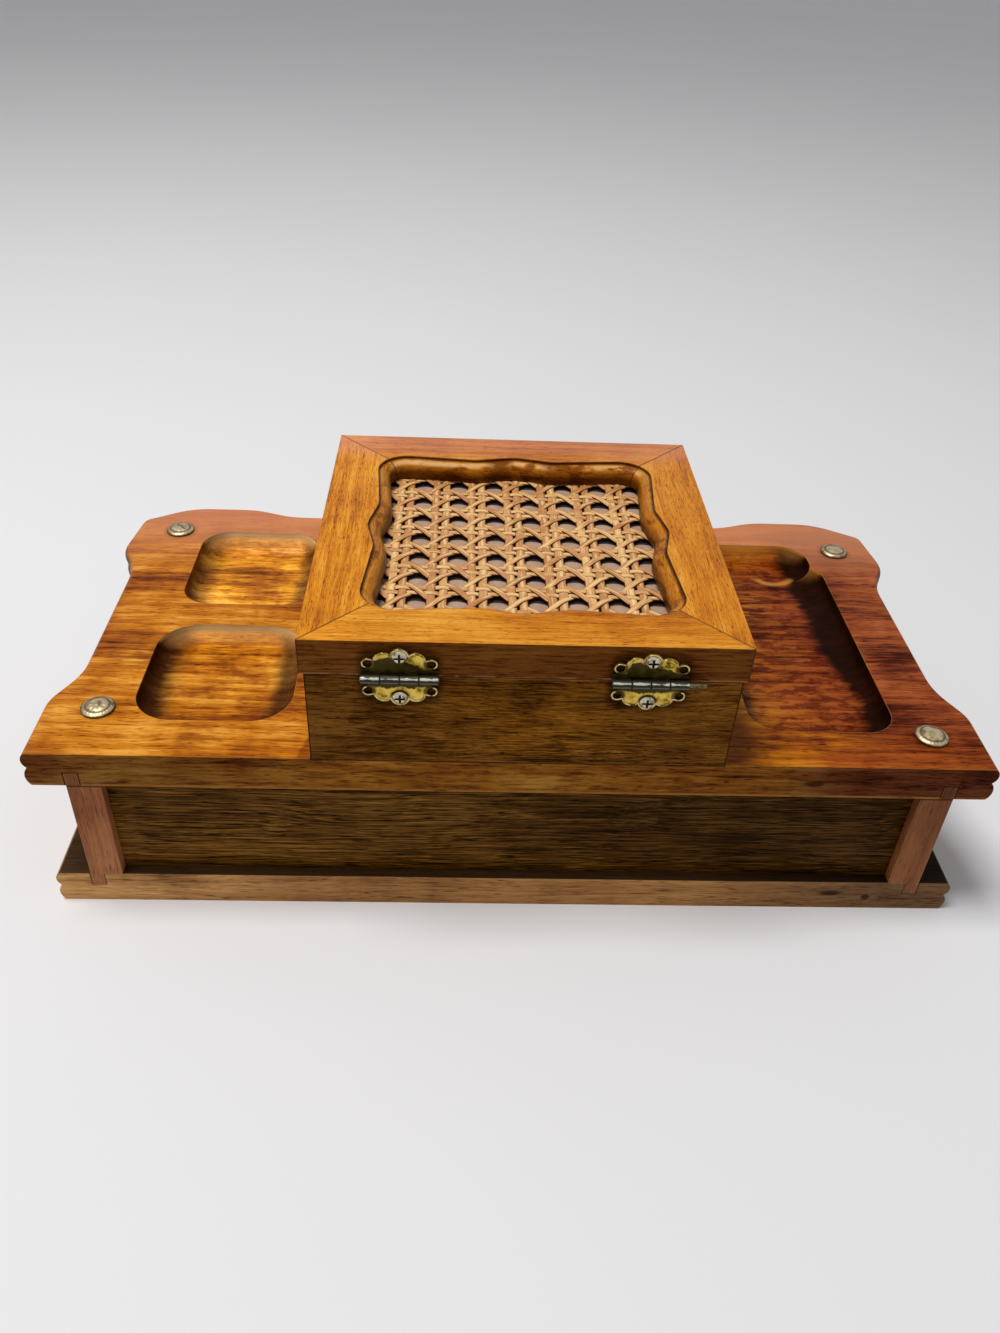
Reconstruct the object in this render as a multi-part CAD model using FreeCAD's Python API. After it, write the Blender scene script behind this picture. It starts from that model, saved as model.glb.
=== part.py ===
import FreeCAD, Part
import math
import os
from FreeCAD import Placement, Rotation, Vector

# A dresser-top jewelry chest, in millimetres. X runs along the chest, the drawer opens
# towards -Y, the hinges are at +Y, and Z is up from the surface that the chest stands on.

# Base board and top board
board_length = 304.0
board_depth = 155.6
board_thickness = 12.8
back_lobe_length = 26.6
end_lobe_length = 23.0
front_lobe_length = 27.0
wave_run = 14.5
front_wave_run = 15.0
waist_depth = 7.0
front_waist_depth = 5.3
clip_length = 18.0
clip_depth = 11.2
front_corner_inset = 2.5
crest_radius = 14.0
front_crest_radius = 28.0
hollow_radius = 28.0
front_corner_radius = 5.0
bead_inset = 1.4
bead_notch_height = 7.1

# Carcass between the boards
carcass_height = 40.1
side_thickness = 10.6
board_ledge = 4.8
tongue_width = 4.2
tongue_depth = 5.0
panel_thickness = 4.0
panel_recess = 3.7
panel_groove_depth = 3.0

# Trays in the top board
tray_depth = 6.4
tray_cove_radius = 5.4
tray_corner_radius = 10.5
tray_width = 47.5
tray_end_margin = 28.0
tray_back_margin = 17.2
tray_front_margin = 20.3
tray_rib = 13.8
back_tray_length = 52.6
back_tray_spread = 3.2
back_tray_corner_radius = 13.5
front_tray_narrowing = 2.0
long_tray_spread = 1.0
end_pocket_length = 23.2
end_pocket_narrowing = 2.2
pocket_overlap = 9.5

# Nails at the corners of the top board: distance from the nearer end and the nearer long edge
nail_right_back = (17.8, 22.3)
nail_right_front = (19.4, 19.7)
nail_left_back = (17.2, 15.5)
nail_left_front = (17.6, 24.0)
nail_head_radius = 5.4
nail_head_height = 2.5
nail_rim_height = 0.6
nail_shank_radius = 0.9
nail_length = 9.0

# Small box on the top board
box_height = 32.5
box_wall = 9.5

# Lid
lid_width = 131.0
lid_depth = 133.7
lid_thickness = 12.0
lid_overhang = 1.5
lid_gap = 0.3
lid_rail_width = 14.9
lid_rabbet_edge = 12.4
opening_corner_radius = 11.0
opening_dip = 3.1
opening_dip_spacing = 14.0
opening_dip_radius = 12.0
opening_crest_radius = 14.0
quirk_depth = 0.8
roll_radius = 4.3
roll_lip = 1.9

# Cane and its backing
cane_thickness = 1.5
cane_pitch = 12.7
cane_hole = 7.4
cane_hole_clip = 2.2
cane_shift = 1.25
cane_to_backing = 0.9
infill_clearance = 0.2

# Hinges
hinge_inset = 29.2
hinge_width = 22.2
leaf_thickness = 0.8
leaf_side_lobe_offset = 9.2
leaf_side_lobe_height = 4.9
leaf_side_lobe_radius = 1.9
leaf_shoulder_offset = 4.6
leaf_shoulder_height = 5.7
leaf_shoulder_radius = 3.1
leaf_screw_height = 7.3
leaf_screw_lobe_radius = 2.9
leaf_hole_radius = 1.35
leaf_foot_height = 1.0
knuckle_radius = 1.5
knuckle_count = 4
knuckle_gap = 0.2
knuckle_to_wood = 0.3
pin_radius = 0.75
pin_clearance = 0.05
pin_overhang = 0.3
left_pin_slip = 5.0

# Hinge screws
screw_head_radius = 2.2
screw_flat_radius = 1.5
screw_head_height = 0.85
screw_rim_height = 0.2
screw_shank_radius = 1.15
screw_length = 8.0
screw_slot_width = 0.55
screw_slot_length = 2.5
screw_slot_depth = 0.6

# Drawer
drawer_side_clearance = 0.6
drawer_floor_clearance = 0.3
drawer_top_clearance = 0.8
drawer_back_clearance = 2.4
drawer_front_thickness = 10.0
drawer_lap = 6.0
drawer_wall = 6.0
drawer_wall_height = 32.0
drawer_floor_thickness = 3.0
drawer_floor_height = 4.0
drawer_floor_groove = 3.0

# Drawer knobs
knob_spread = 70.0
knob_foot_radius = 4.4
knob_foot_height = 1.2
knob_neck_radius = 3.2
knob_head_radius = 7.0
knob_rim_low = 6.6
knob_rim_high = 9.8
knob_face_radius = 4.6
knob_height = 12.4
knob_screw_radius = 1.5
knob_screw_reach = 7.0
knob_screw_head_radius = 3.2
knob_screw_flat_radius = 2.0
knob_screw_head_height = 1.8
knob_screw_rim_height = 0.6

# Felt pads and small fits
felt_thickness = 1.2
felt_clearance = 0.4
pilot_clearance = 0.05
cut_spare = 2.0
cut_overlap = 1.0

# Levels and planes that follow from the sizes above
back_y = board_depth / 2
floor_z = board_thickness
shelf_z = floor_z + carcass_height
top_z = shelf_z + board_thickness
box_top_z = top_z + box_height
lid_low_z = box_top_z + lid_gap
lid_top_z = lid_low_z + lid_thickness
side_outer_x = board_length / 2 - waist_depth - board_ledge
side_inner_x = side_outer_x - side_thickness
carcass_front_y = back_y - (board_depth - front_waist_depth - board_ledge)
panel_back_y = back_y - panel_recess
panel_front_y = panel_back_y - panel_thickness
box_half_width = lid_width / 2 - lid_overhang
box_front_y = back_y - (lid_depth - lid_overhang)
lid_center_y = back_y - lid_depth / 2
hinge_spread = lid_width / 2 - hinge_inset
cane_top_z = lid_top_z - quirk_depth - roll_radius - roll_lip
pin_y = back_y + knuckle_to_wood + knuckle_radius
pin_z = box_top_z + lid_gap / 2
leaf_outer_y = back_y + leaf_thickness

# Planes of the drawer when it is shut
drawer_half_width = side_inner_x - drawer_side_clearance
drawer_low_z = floor_z + drawer_floor_clearance
drawer_high_z = shelf_z - drawer_top_clearance
drawer_front_y = carcass_front_y
drawer_front_inner_y = drawer_front_y + drawer_front_thickness
drawer_back_y = panel_front_y - drawer_back_clearance
drawer_floor_low_z = drawer_low_z + drawer_floor_height
drawer_floor_top_z = drawer_floor_low_z + drawer_floor_thickness
drawer_wall_top_z = drawer_low_z + drawer_wall_height
knob_z = (drawer_low_z + drawer_high_z) / 2


def block(low_x, high_x, low_y, high_y, low_z, high_z):
    """Rectangular solid between two corners."""
    corner = Vector(low_x, low_y, low_z)
    return Part.makeBox(high_x - low_x, high_y - low_y, high_z - low_z, corner)


def prism(wire, height):
    """Upright solid on a closed flat wire."""
    return Part.Face(wire).extrude(Vector(0, 0, height))


def turned(edges):
    """Solid turned about the Z axis from edges that close on it."""
    return Part.Face(Part.Wire(edges)).revolve(Vector(0, 0, 0), Vector(0, 0, 1), 360)


def lines(points):
    """Straight edges from point to point."""
    return [Part.LineSegment(a, b).toShape() for a, b in zip(points, points[1:])]


def placed(solid, center, axis):
    """Moves a solid made on the Z axis so that it stands on a point, along an axis."""
    solid.Placement = Placement(center, Rotation(Vector(0, 0, 1), axis))
    return solid


def domed_nail():
    """Nail with a domed head, on the Z axis with its shank below."""
    rim = Vector(nail_head_radius, 0, nail_rim_height)
    crown = Vector(0, 0, nail_head_height)
    rise = crown.z - rim.z
    dome_radius = (rim.x ** 2 + rise ** 2) / (2 * rise)
    half_angle = math.asin(rim.x / dome_radius) / 2
    between = Vector(
        dome_radius * math.sin(half_angle), 0, crown.z - dome_radius * (1 - math.cos(half_angle)))
    side = lines([
        crown, Vector(0, 0, -nail_length), Vector(nail_shank_radius, 0, -nail_length),
        Vector(nail_shank_radius, 0, 0), Vector(nail_head_radius, 0, 0), rim])
    return turned(side + [Part.Arc(rim, between, crown).toShape()])


def pan_screw(head_radius, flat_radius, rim_height, head_height, shank_radius, length):
    """Screw with a bevelled pan head, on the Z axis with its shank below."""
    return turned(lines([
        Vector(0, 0, head_height), Vector(0, 0, -length), Vector(shank_radius, 0, -length),
        Vector(shank_radius, 0, 0), Vector(head_radius, 0, 0), Vector(head_radius, 0, rim_height),
        Vector(flat_radius, 0, head_height), Vector(0, 0, head_height)]))


def rounded_wire(points, radii, z, closed):
    """Wire of straight runs joined by tangent arcs; a radius of 0 keeps a corner sharp."""
    spots = [Vector(x, y, z) for x, y in points]
    joints = []
    for index, (spot, radius) in enumerate(zip(spots, radii)):
        if radius == 0:
            joints.append((spot, None, spot))
            continue
        before = (spots[index - 1] - spot).normalize()
        after = (spots[(index + 1) % len(spots)] - spot).normalize()
        half_turn = (math.pi - before.getAngle(after)) / 2
        reach = radius * math.tan(half_turn)
        middle = (before + after).normalize() * (radius / math.cos(half_turn) - radius)
        joints.append((spot + before * reach, spot + middle, spot + after * reach))
    following = joints[1:] + joints[:1] if closed else joints[1:]
    edges = []
    for (_, _, leave), (arrive, middle, depart) in zip(joints, following):
        edges.append(Part.LineSegment(leave, arrive).toShape())
        if middle is not None:
            edges.append(Part.Arc(arrive, middle, depart).toShape())
    return Part.Wire(edges)


def swept(path, section):
    """Solid swept along a flat path. The section is drawn in XZ, with X to the path's left."""
    first = path.OrderedEdges[0]
    start = path.OrderedVertexes[0].Point
    heading = first.tangentAt(first.FirstParameter)
    if (first.valueAt(first.FirstParameter) - start).Length > (
            first.valueAt(first.LastParameter) - start).Length:
        heading = first.tangentAt(first.LastParameter) * -1
    up = Vector(0, 0, 1)
    left = up.cross(heading)
    section.Placement = Placement(Vector(start.x, start.y, 0), Rotation(left, up.cross(left), up))
    maker = Part.BRepOffsetAPI.MakePipeShell(path)
    maker.setBiNormalMode(up)
    maker.add(section)
    maker.build()
    maker.makeSolid()
    return maker.shape()


def outline_points(back_line_y):
    """Corners and radii of the scalloped outline, from one end of the back edge to the other."""
    end_x = board_length / 2
    waist_x = end_x - waist_depth
    corner_x = end_x - front_corner_inset
    front_y = back_y - board_depth
    back_crest_y = back_y - back_lobe_length
    corner_y = front_y + clip_depth
    end_crest_y = corner_y + end_lobe_length
    clip_x = corner_x - clip_length
    front_crest_x = clip_x - front_lobe_length
    half = [
        (end_x, back_line_y, 0),
        (end_x, back_crest_y, crest_radius),
        (waist_x, back_crest_y - wave_run, hollow_radius),
        (waist_x, end_crest_y + wave_run, hollow_radius),
        (end_x, end_crest_y, crest_radius),
        (corner_x, corner_y, front_corner_radius),
        (clip_x, front_y, front_crest_radius),
        (front_crest_x, front_y, front_crest_radius),
        (front_crest_x - front_wave_run, front_y + front_waist_depth, hollow_radius)]
    other = [(-x, y, radius) for x, y, radius in reversed(half)]
    points = [(x, y) for x, y, _ in half + other]
    radii = [radius for _, _, radius in half + other]
    return points, radii


def bead_section(low_z):
    """Space outside the double bead of a board's edge, with a notch between two rounds."""
    foot = Vector(-bead_inset, 0, low_z)
    notch = Vector(-bead_inset, 0, low_z + bead_notch_height)
    head = Vector(-bead_inset, 0, low_z + board_thickness)
    lower_nose = Vector(0, 0, low_z + bead_notch_height / 2)
    upper_nose = Vector(0, 0, low_z + (bead_notch_height + board_thickness) / 2)
    outside = [
        head, Vector(-bead_inset, 0, head.z + cut_spare), Vector(cut_spare, 0, head.z + cut_spare),
        Vector(cut_spare, 0, low_z - cut_spare), Vector(-bead_inset, 0, low_z - cut_spare), foot]
    beads = [
        Part.Arc(foot, lower_nose, notch).toShape(), Part.Arc(notch, upper_nose, head).toShape()]
    return Part.Wire(beads + lines(outside))


def scalloped_board(low_z):
    """Board with the scalloped outline and the double bead round its ends and front."""
    points, radii = outline_points(back_y)
    blank = prism(rounded_wire(points, radii, low_z, True), board_thickness)
    points, radii = outline_points(back_y + cut_spare)
    path = rounded_wire(points, radii, low_z, False)
    return blank.cut(swept(path, bead_section(low_z)))


def tongue_slots(low_z):
    """The two dadoes that take the side boards' tongues, at one level."""
    inner_x = side_outer_x - tongue_width
    level = (carcass_front_y, back_y + cut_spare, low_z, low_z + tongue_depth)
    right = block(inner_x, side_outer_x, *level)
    left = block(-side_outer_x, -inner_x, *level)
    return right.fuse(left)


def coved_pocket(low_x, high_x, low_y, high_y, corner_radius):
    """Cutter for a tray: a round-cornered pocket whose walls run into the floor in a cove."""
    corners = [(low_x, low_y), (high_x, low_y), (high_x, high_y), (low_x, high_y)]
    tray_floor_z = top_z - tray_depth
    wire = rounded_wire(corners, [corner_radius] * len(corners), tray_floor_z, True)
    pocket = prism(wire, tray_depth + cut_spare)
    low_edges = [edge for edge in pocket.Edges if edge.BoundBox.ZMax < top_z - tray_depth / 2]
    return pocket.makeFillet(tray_cove_radius, low_edges)


def tray_cutters():
    """Two trays in the right wing, and a long tray with an end pocket in the left wing."""
    outer_x = board_length / 2 - tray_end_margin
    inner_x = outer_x - tray_width
    back_edge_y = back_y - tray_back_margin
    front_edge_y = back_y - board_depth + tray_front_margin
    rib_back_y = back_edge_y - back_tray_length
    rib_front_y = rib_back_y - tray_rib
    pocket_back_y = front_edge_y + end_pocket_length
    long_front_y = pocket_back_y - pocket_overlap
    return [
        coved_pocket(
            inner_x - back_tray_spread, outer_x, rib_back_y, back_edge_y, back_tray_corner_radius),
        coved_pocket(
            inner_x, outer_x - front_tray_narrowing, front_edge_y, rib_front_y, tray_corner_radius),
        coved_pocket(
            -outer_x - long_tray_spread, -inner_x, long_front_y, back_edge_y, tray_corner_radius),
        coved_pocket(
            end_pocket_narrowing - outer_x, -inner_x, front_edge_y, pocket_back_y, tray_corner_radius)]


def nail_spots():
    """Places of the four nails on the top board."""
    end_x = board_length / 2
    front_y = back_y - board_depth
    return [
        Vector(end_x - nail_right_back[0], back_y - nail_right_back[1], top_z),
        Vector(end_x - nail_right_front[0], front_y + nail_right_front[1], top_z),
        Vector(nail_left_back[0] - end_x, back_y - nail_left_back[1], top_z),
        Vector(nail_left_front[0] - end_x, front_y + nail_left_front[1], top_z)]


def nail_holes():
    """Holes in the top board for the nails' shanks."""
    radius = nail_shank_radius + pilot_clearance
    return [
        Part.makeCylinder(radius, nail_length + cut_spare, spot - Vector(0, 0, nail_length))
        for spot in nail_spots()]


def side_board(sign):
    """Side board with a bare-faced tongue above and below and a groove for the back panel."""
    xs = sorted((sign * side_inner_x, sign * side_outer_x))
    tongue_xs = sorted((sign * (side_outer_x - tongue_width), sign * side_outer_x))
    groove_xs = sorted((sign * (side_inner_x - cut_spare), sign * (side_inner_x + panel_groove_depth)))
    board = block(*xs, carcass_front_y, back_y, floor_z, shelf_z)
    tongue = block(
        *tongue_xs, carcass_front_y, back_y, floor_z - tongue_depth, shelf_z + tongue_depth)
    groove = block(*groove_xs, panel_front_y, panel_back_y, floor_z, shelf_z)
    return board.fuse(tongue).removeSplitter().cut(groove)


def mitred_frame(half_width, low_y, high_y, rail, low_z, high_z):
    """Four rails of a rectangular frame, mitred at the corners."""
    outer = {
        "right_back": Vector(half_width, high_y, low_z), "left_back": Vector(-half_width, high_y, low_z),
        "right_front": Vector(half_width, low_y, low_z), "left_front": Vector(-half_width, low_y, low_z)}
    inner = {
        "right_back": Vector(half_width - rail, high_y - rail, low_z),
        "left_back": Vector(rail - half_width, high_y - rail, low_z),
        "right_front": Vector(half_width - rail, low_y + rail, low_z),
        "left_front": Vector(rail - half_width, low_y + rail, low_z)}
    ends = {
        "back": ("right_back", "left_back"), "front": ("left_front", "right_front"),
        "left": ("left_back", "left_front"), "right": ("right_front", "right_back")}
    rails = {}
    for name, (start, end) in ends.items():
        corners = [outer[start], outer[end], inner[end], inner[start], outer[start]]
        rails[name] = prism(Part.makePolygon(corners), high_z - low_z)
    return rails


def opening_wire(z):
    """Serpentine outline of the lid's opening: each side dips inwards twice about its middle."""
    half_x = lid_width / 2 - lid_rail_width
    half_y = lid_depth / 2 - lid_rail_width
    points = []
    radii = []
    for turn in range(4):
        reach, width = (half_y, half_x) if turn % 2 == 0 else (half_x, half_y)
        cosine = (0, 1, 0, -1)[turn]
        sine = (-1, 0, 1, 0)[turn]
        stops = [
            (-width, 0.0, opening_corner_radius),
            (-opening_dip_spacing, opening_dip, opening_dip_radius),
            (0.0, 0.0, opening_crest_radius),
            (opening_dip_spacing, opening_dip, opening_dip_radius)]
        for along, dip, radius in stops:
            outward = reach - dip
            points.append((
                outward * cosine - along * sine, outward * sine + along * cosine + lid_center_y))
            radii.append(radius)
    return rounded_wire(points, radii, z, True)


def roll_section():
    """Space over the roll round the opening: a quirk, a quarter round and a lip."""
    quirk_z = lid_top_z - quirk_depth
    lip_z = quirk_z - roll_radius
    slant = roll_radius * math.sqrt(0.5)
    start = Vector(0, 0, quirk_z)
    middle = Vector(slant, 0, lip_z + slant)
    end = Vector(roll_radius, 0, lip_z)
    spare_x = roll_radius + cut_overlap
    rest = [
        end, Vector(roll_radius, 0, lid_low_z - cut_spare), Vector(spare_x, 0, lid_low_z - cut_spare),
        Vector(spare_x, 0, lid_top_z + cut_spare), Vector(0, 0, lid_top_z + cut_spare), start]
    return Part.Wire([Part.Arc(start, middle, end).toShape()] + lines(rest))


def lid_cutters():
    """What is cut from the lid's rails: the moulded opening and the rabbet below."""
    wire = opening_wire(lid_low_z - cut_spare)
    roll = swept(wire, roll_section())
    inner = Part.Face(wire).makeOffset2D(-(roll_radius + cut_overlap / 2))
    middle = inner.extrude(Vector(0, 0, lid_thickness + 2 * cut_spare))
    half_x = lid_width / 2 - lid_rabbet_edge
    half_y = lid_depth / 2 - lid_rabbet_edge
    rabbet = block(
        -half_x, half_x, lid_center_y - half_y, lid_center_y + half_y,
        lid_low_z - cut_spare, cane_top_z)
    return [roll, middle, rabbet]


def lid_rails():
    """The lid's four mitred rails."""
    blank_width = lid_rail_width + opening_dip + roll_radius + cut_spare
    blanks = mitred_frame(
        lid_width / 2, back_y - lid_depth, back_y, blank_width, lid_low_z, lid_top_z)
    cutters = lid_cutters()
    return {name: blank.cut(cutters) for name, blank in blanks.items()}


def cane_panel():
    """Woven cane as a flat net of eight-sided holes, held under the rails' rabbet."""
    half_x = lid_width / 2 - lid_rabbet_edge - infill_clearance
    half_y = lid_depth / 2 - lid_rabbet_edge - infill_clearance
    low_z = cane_top_z - cane_thickness
    corners = [(-half_x, -half_y), (half_x, -half_y), (half_x, half_y), (-half_x, half_y)]
    half_hole = cane_hole / 2
    flat = half_hole - cane_hole_clip
    octagon = [
        (half_hole, flat), (flat, half_hole), (-flat, half_hole), (-half_hole, flat),
        (-half_hole, -flat), (-flat, -half_hole), (flat, -half_hole), (half_hole, -flat)]
    reach = int(half_x // cane_pitch) + 2
    wires = [Part.makePolygon([Vector(x, y + lid_center_y, low_z) for x, y in corners + corners[:1]])]
    for column in range(-reach, reach + 1):
        center_x = cane_shift + (column + 0.5) * cane_pitch
        for row in range(-reach, reach + 1):
            center_y = row * cane_pitch
            if max(abs(center_x) - half_x, abs(center_y) - half_y) > -half_hole - roll_lip:
                continue
            rim = [Vector(center_x + x, center_y + y + lid_center_y, low_z) for x, y in octagon]
            wires.append(Part.makePolygon(rim + rim[:1]))
    net = Part.makeFace(wires, "Part::FaceMakerBullseye")
    return net.extrude(Vector(0, 0, cane_thickness))


def lid_backing():
    """Pale panel that closes the rabbet flush with the lid's underside."""
    half_x = lid_width / 2 - lid_rabbet_edge - infill_clearance
    half_y = lid_depth / 2 - lid_rabbet_edge - infill_clearance
    return block(
        -half_x, half_x, lid_center_y - half_y, lid_center_y + half_y,
        lid_low_z, cane_top_z - cane_thickness - cane_to_backing)


def disc(x, z, radius, low_y, high_y):
    """Round plate standing across Y."""
    return Part.makeCylinder(radius, high_y - low_y, Vector(x, low_y, z), Vector(0, 1, 0))


def hinge_leaf(center_x, sign):
    """Scalloped leaf with three holes; the upper leaf has sign 1 and the lower -1."""
    edge_z = knuckle_radius + knuckle_gap
    half_width = hinge_width / 2
    knuckle_length = (hinge_width - (knuckle_count - 1) * knuckle_gap) / knuckle_count
    low_z, high_z = sorted((pin_z + sign * edge_z, pin_z + sign * leaf_side_lobe_height))
    plate = block(
        center_x - leaf_side_lobe_offset, center_x + leaf_side_lobe_offset,
        back_y, leaf_outer_y, low_z, high_z)
    foot_z = edge_z + leaf_foot_height
    foot = block(
        center_x - half_width, center_x + half_width, back_y, leaf_outer_y,
        *sorted((pin_z + sign * edge_z, pin_z + sign * foot_z)))
    lobes = [(0.0, leaf_screw_height, leaf_screw_lobe_radius)]
    for side in (-1, 1):
        lobes.append((side * leaf_side_lobe_offset, leaf_side_lobe_height, leaf_side_lobe_radius))
        lobes.append((side * leaf_shoulder_offset, leaf_shoulder_height, leaf_shoulder_radius))
    discs = [
        disc(center_x + x, pin_z + sign * z, radius, back_y, leaf_outer_y) for x, z, radius in lobes]
    knuckles = []
    first = 1 if sign > 0 else 0
    for index in range(first, knuckle_count, 2):
        low_x = center_x - half_width + index * (knuckle_length + knuckle_gap)
        barrel = Part.makeCylinder(
            knuckle_radius, knuckle_length, Vector(low_x, pin_y, pin_z), Vector(1, 0, 0))
        web = block(
            low_x, low_x + knuckle_length, back_y, leaf_outer_y,
            *sorted((pin_z, pin_z + sign * foot_z)))
        knuckles += [barrel, web]
    solid = plate.fuse([foot] + discs + knuckles).removeSplitter()
    holes = [
        disc(
            center_x + x, pin_z + sign * z, leaf_hole_radius, back_y - cut_spare,
            leaf_outer_y + cut_spare)
        for x, z in (
            (0.0, leaf_screw_height), (-leaf_side_lobe_offset, leaf_side_lobe_height),
            (leaf_side_lobe_offset, leaf_side_lobe_height))]
    bore = Part.makeCylinder(
        pin_radius + pin_clearance, hinge_width + 2 * cut_spare,
        Vector(center_x - half_width - cut_spare, pin_y, pin_z), Vector(1, 0, 0))
    return solid.cut(holes + [bore])


def hinge_pin(center_x, slip):
    """Pin through the knuckles; a slip slides it out towards -X."""
    length = hinge_width + 2 * pin_overhang
    start = Vector(center_x - length / 2 - slip, pin_y, pin_z)
    return Part.makeCylinder(pin_radius, length, start, Vector(1, 0, 0))


def screw_spots(sign):
    """Places of the fitted hinge screws in the upper (1) or lower (-1) leaves."""
    z = pin_z + sign * leaf_screw_height
    return [Vector(-hinge_spread, leaf_outer_y, z), Vector(hinge_spread, leaf_outer_y, z)]


def hinge_screws(sign):
    """Cross-slot screws, one through the middle lobe of each leaf."""
    screws = []
    for spot in screw_spots(sign):
        screw = pan_screw(
            screw_head_radius, screw_flat_radius, screw_rim_height, screw_head_height,
            screw_shank_radius, screw_length)
        half_length = screw_slot_length / 2
        half_width = screw_slot_width / 2
        floor = screw_head_height - screw_slot_depth
        slots = [
            block(-half_length, half_length, -half_width, half_width, floor, screw_head_height),
            block(-half_width, half_width, -half_length, half_length, floor, screw_head_height)]
        screws.append(placed(screw.cut(slots), spot, Vector(0, 1, 0)))
    return Part.makeCompound(screws)


def screw_pilots(sign):
    """Pilot holes behind the fitted screws."""
    radius = screw_shank_radius + pilot_clearance
    return [
        Part.makeCylinder(radius, screw_length, spot, Vector(0, -1, 0)) for spot in screw_spots(sign)]


def corner_nails():
    """The four domed nails."""
    return Part.makeCompound([placed(domed_nail(), spot, Vector(0, 0, 1)) for spot in nail_spots()])


def drawer_floor():
    """Drawer floor, let into grooves of the front and sides."""
    half_width = drawer_half_width - drawer_wall + drawer_floor_groove
    low_y = drawer_front_inner_y - drawer_floor_groove
    return block(
        -half_width, half_width, low_y, drawer_back_y, drawer_floor_low_z, drawer_floor_top_z)


def drawer_front():
    """Drawer front, rabbeted at its ends for the sides, grooved for the floor."""
    front = block(
        -drawer_half_width, drawer_half_width, drawer_front_y, drawer_front_inner_y,
        drawer_low_z, drawer_high_z)
    lap_y = drawer_front_inner_y - drawer_lap
    laps = [
        block(
            *sorted((side * drawer_half_width, side * (drawer_half_width - drawer_wall))),
            lap_y, drawer_front_inner_y, drawer_low_z, drawer_wall_top_z)
        for side in (-1, 1)]
    holes = [
        Part.makeCylinder(
            knob_screw_radius + pilot_clearance, drawer_front_thickness,
            Vector(side * knob_spread, drawer_front_y, knob_z), Vector(0, 1, 0))
        for side in (-1, 1)]
    return front.cut(laps + holes + [drawer_floor()])


def drawer_side(sign):
    """Drawer side, lapped into the front and grooved for the floor."""
    xs = sorted((sign * drawer_half_width, sign * (drawer_half_width - drawer_wall)))
    low_y = drawer_front_inner_y - drawer_lap
    side = block(*xs, low_y, drawer_back_y, drawer_low_z, drawer_wall_top_z)
    return side.cut(drawer_floor())


def drawer_back():
    """Drawer back, standing on the floor between the sides."""
    half_width = drawer_half_width - drawer_wall
    return block(
        -half_width, half_width, drawer_back_y - drawer_wall, drawer_back_y,
        drawer_floor_top_z, drawer_wall_top_z)


def drawer_lining():
    """Felt pad on the drawer's floor."""
    half_width = drawer_half_width - drawer_wall - felt_clearance
    return block(
        -half_width, half_width, drawer_front_inner_y + felt_clearance,
        drawer_back_y - drawer_wall - felt_clearance,
        drawer_floor_top_z, drawer_floor_top_z + felt_thickness)


def drawer_knob(center_x):
    """Turned knob: foot, neck and bevelled head, with a blind hole for its screw."""
    profile = lines([
        Vector(0, 0, knob_height), Vector(0, 0, 0), Vector(knob_foot_radius, 0, 0),
        Vector(knob_foot_radius, 0, knob_foot_height), Vector(knob_neck_radius, 0, knob_foot_height),
        Vector(knob_neck_radius, 0, knob_rim_low), Vector(knob_head_radius, 0, knob_rim_low),
        Vector(knob_head_radius, 0, knob_rim_high), Vector(knob_face_radius, 0, knob_height),
        Vector(0, 0, knob_height)])
    center = Vector(center_x, drawer_front_y, knob_z)
    knob = placed(turned(profile), center, Vector(0, -1, 0))
    hole = Part.makeCylinder(
        knob_screw_radius + pilot_clearance, knob_screw_reach, center, Vector(0, -1, 0))
    return knob.cut(hole)


def knob_screws():
    """Screws through the drawer front into the knobs, heads inside the drawer."""
    length = drawer_front_thickness + knob_screw_reach
    screws = []
    for side in (-1, 1):
        screw = pan_screw(
            knob_screw_head_radius, knob_screw_flat_radius, knob_screw_rim_height,
            knob_screw_head_height, knob_screw_radius, length)
        spot = Vector(side * knob_spread, drawer_front_inner_y, knob_z)
        screws.append(placed(screw, spot, Vector(0, 1, 0)))
    return Part.makeCompound(screws)


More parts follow.
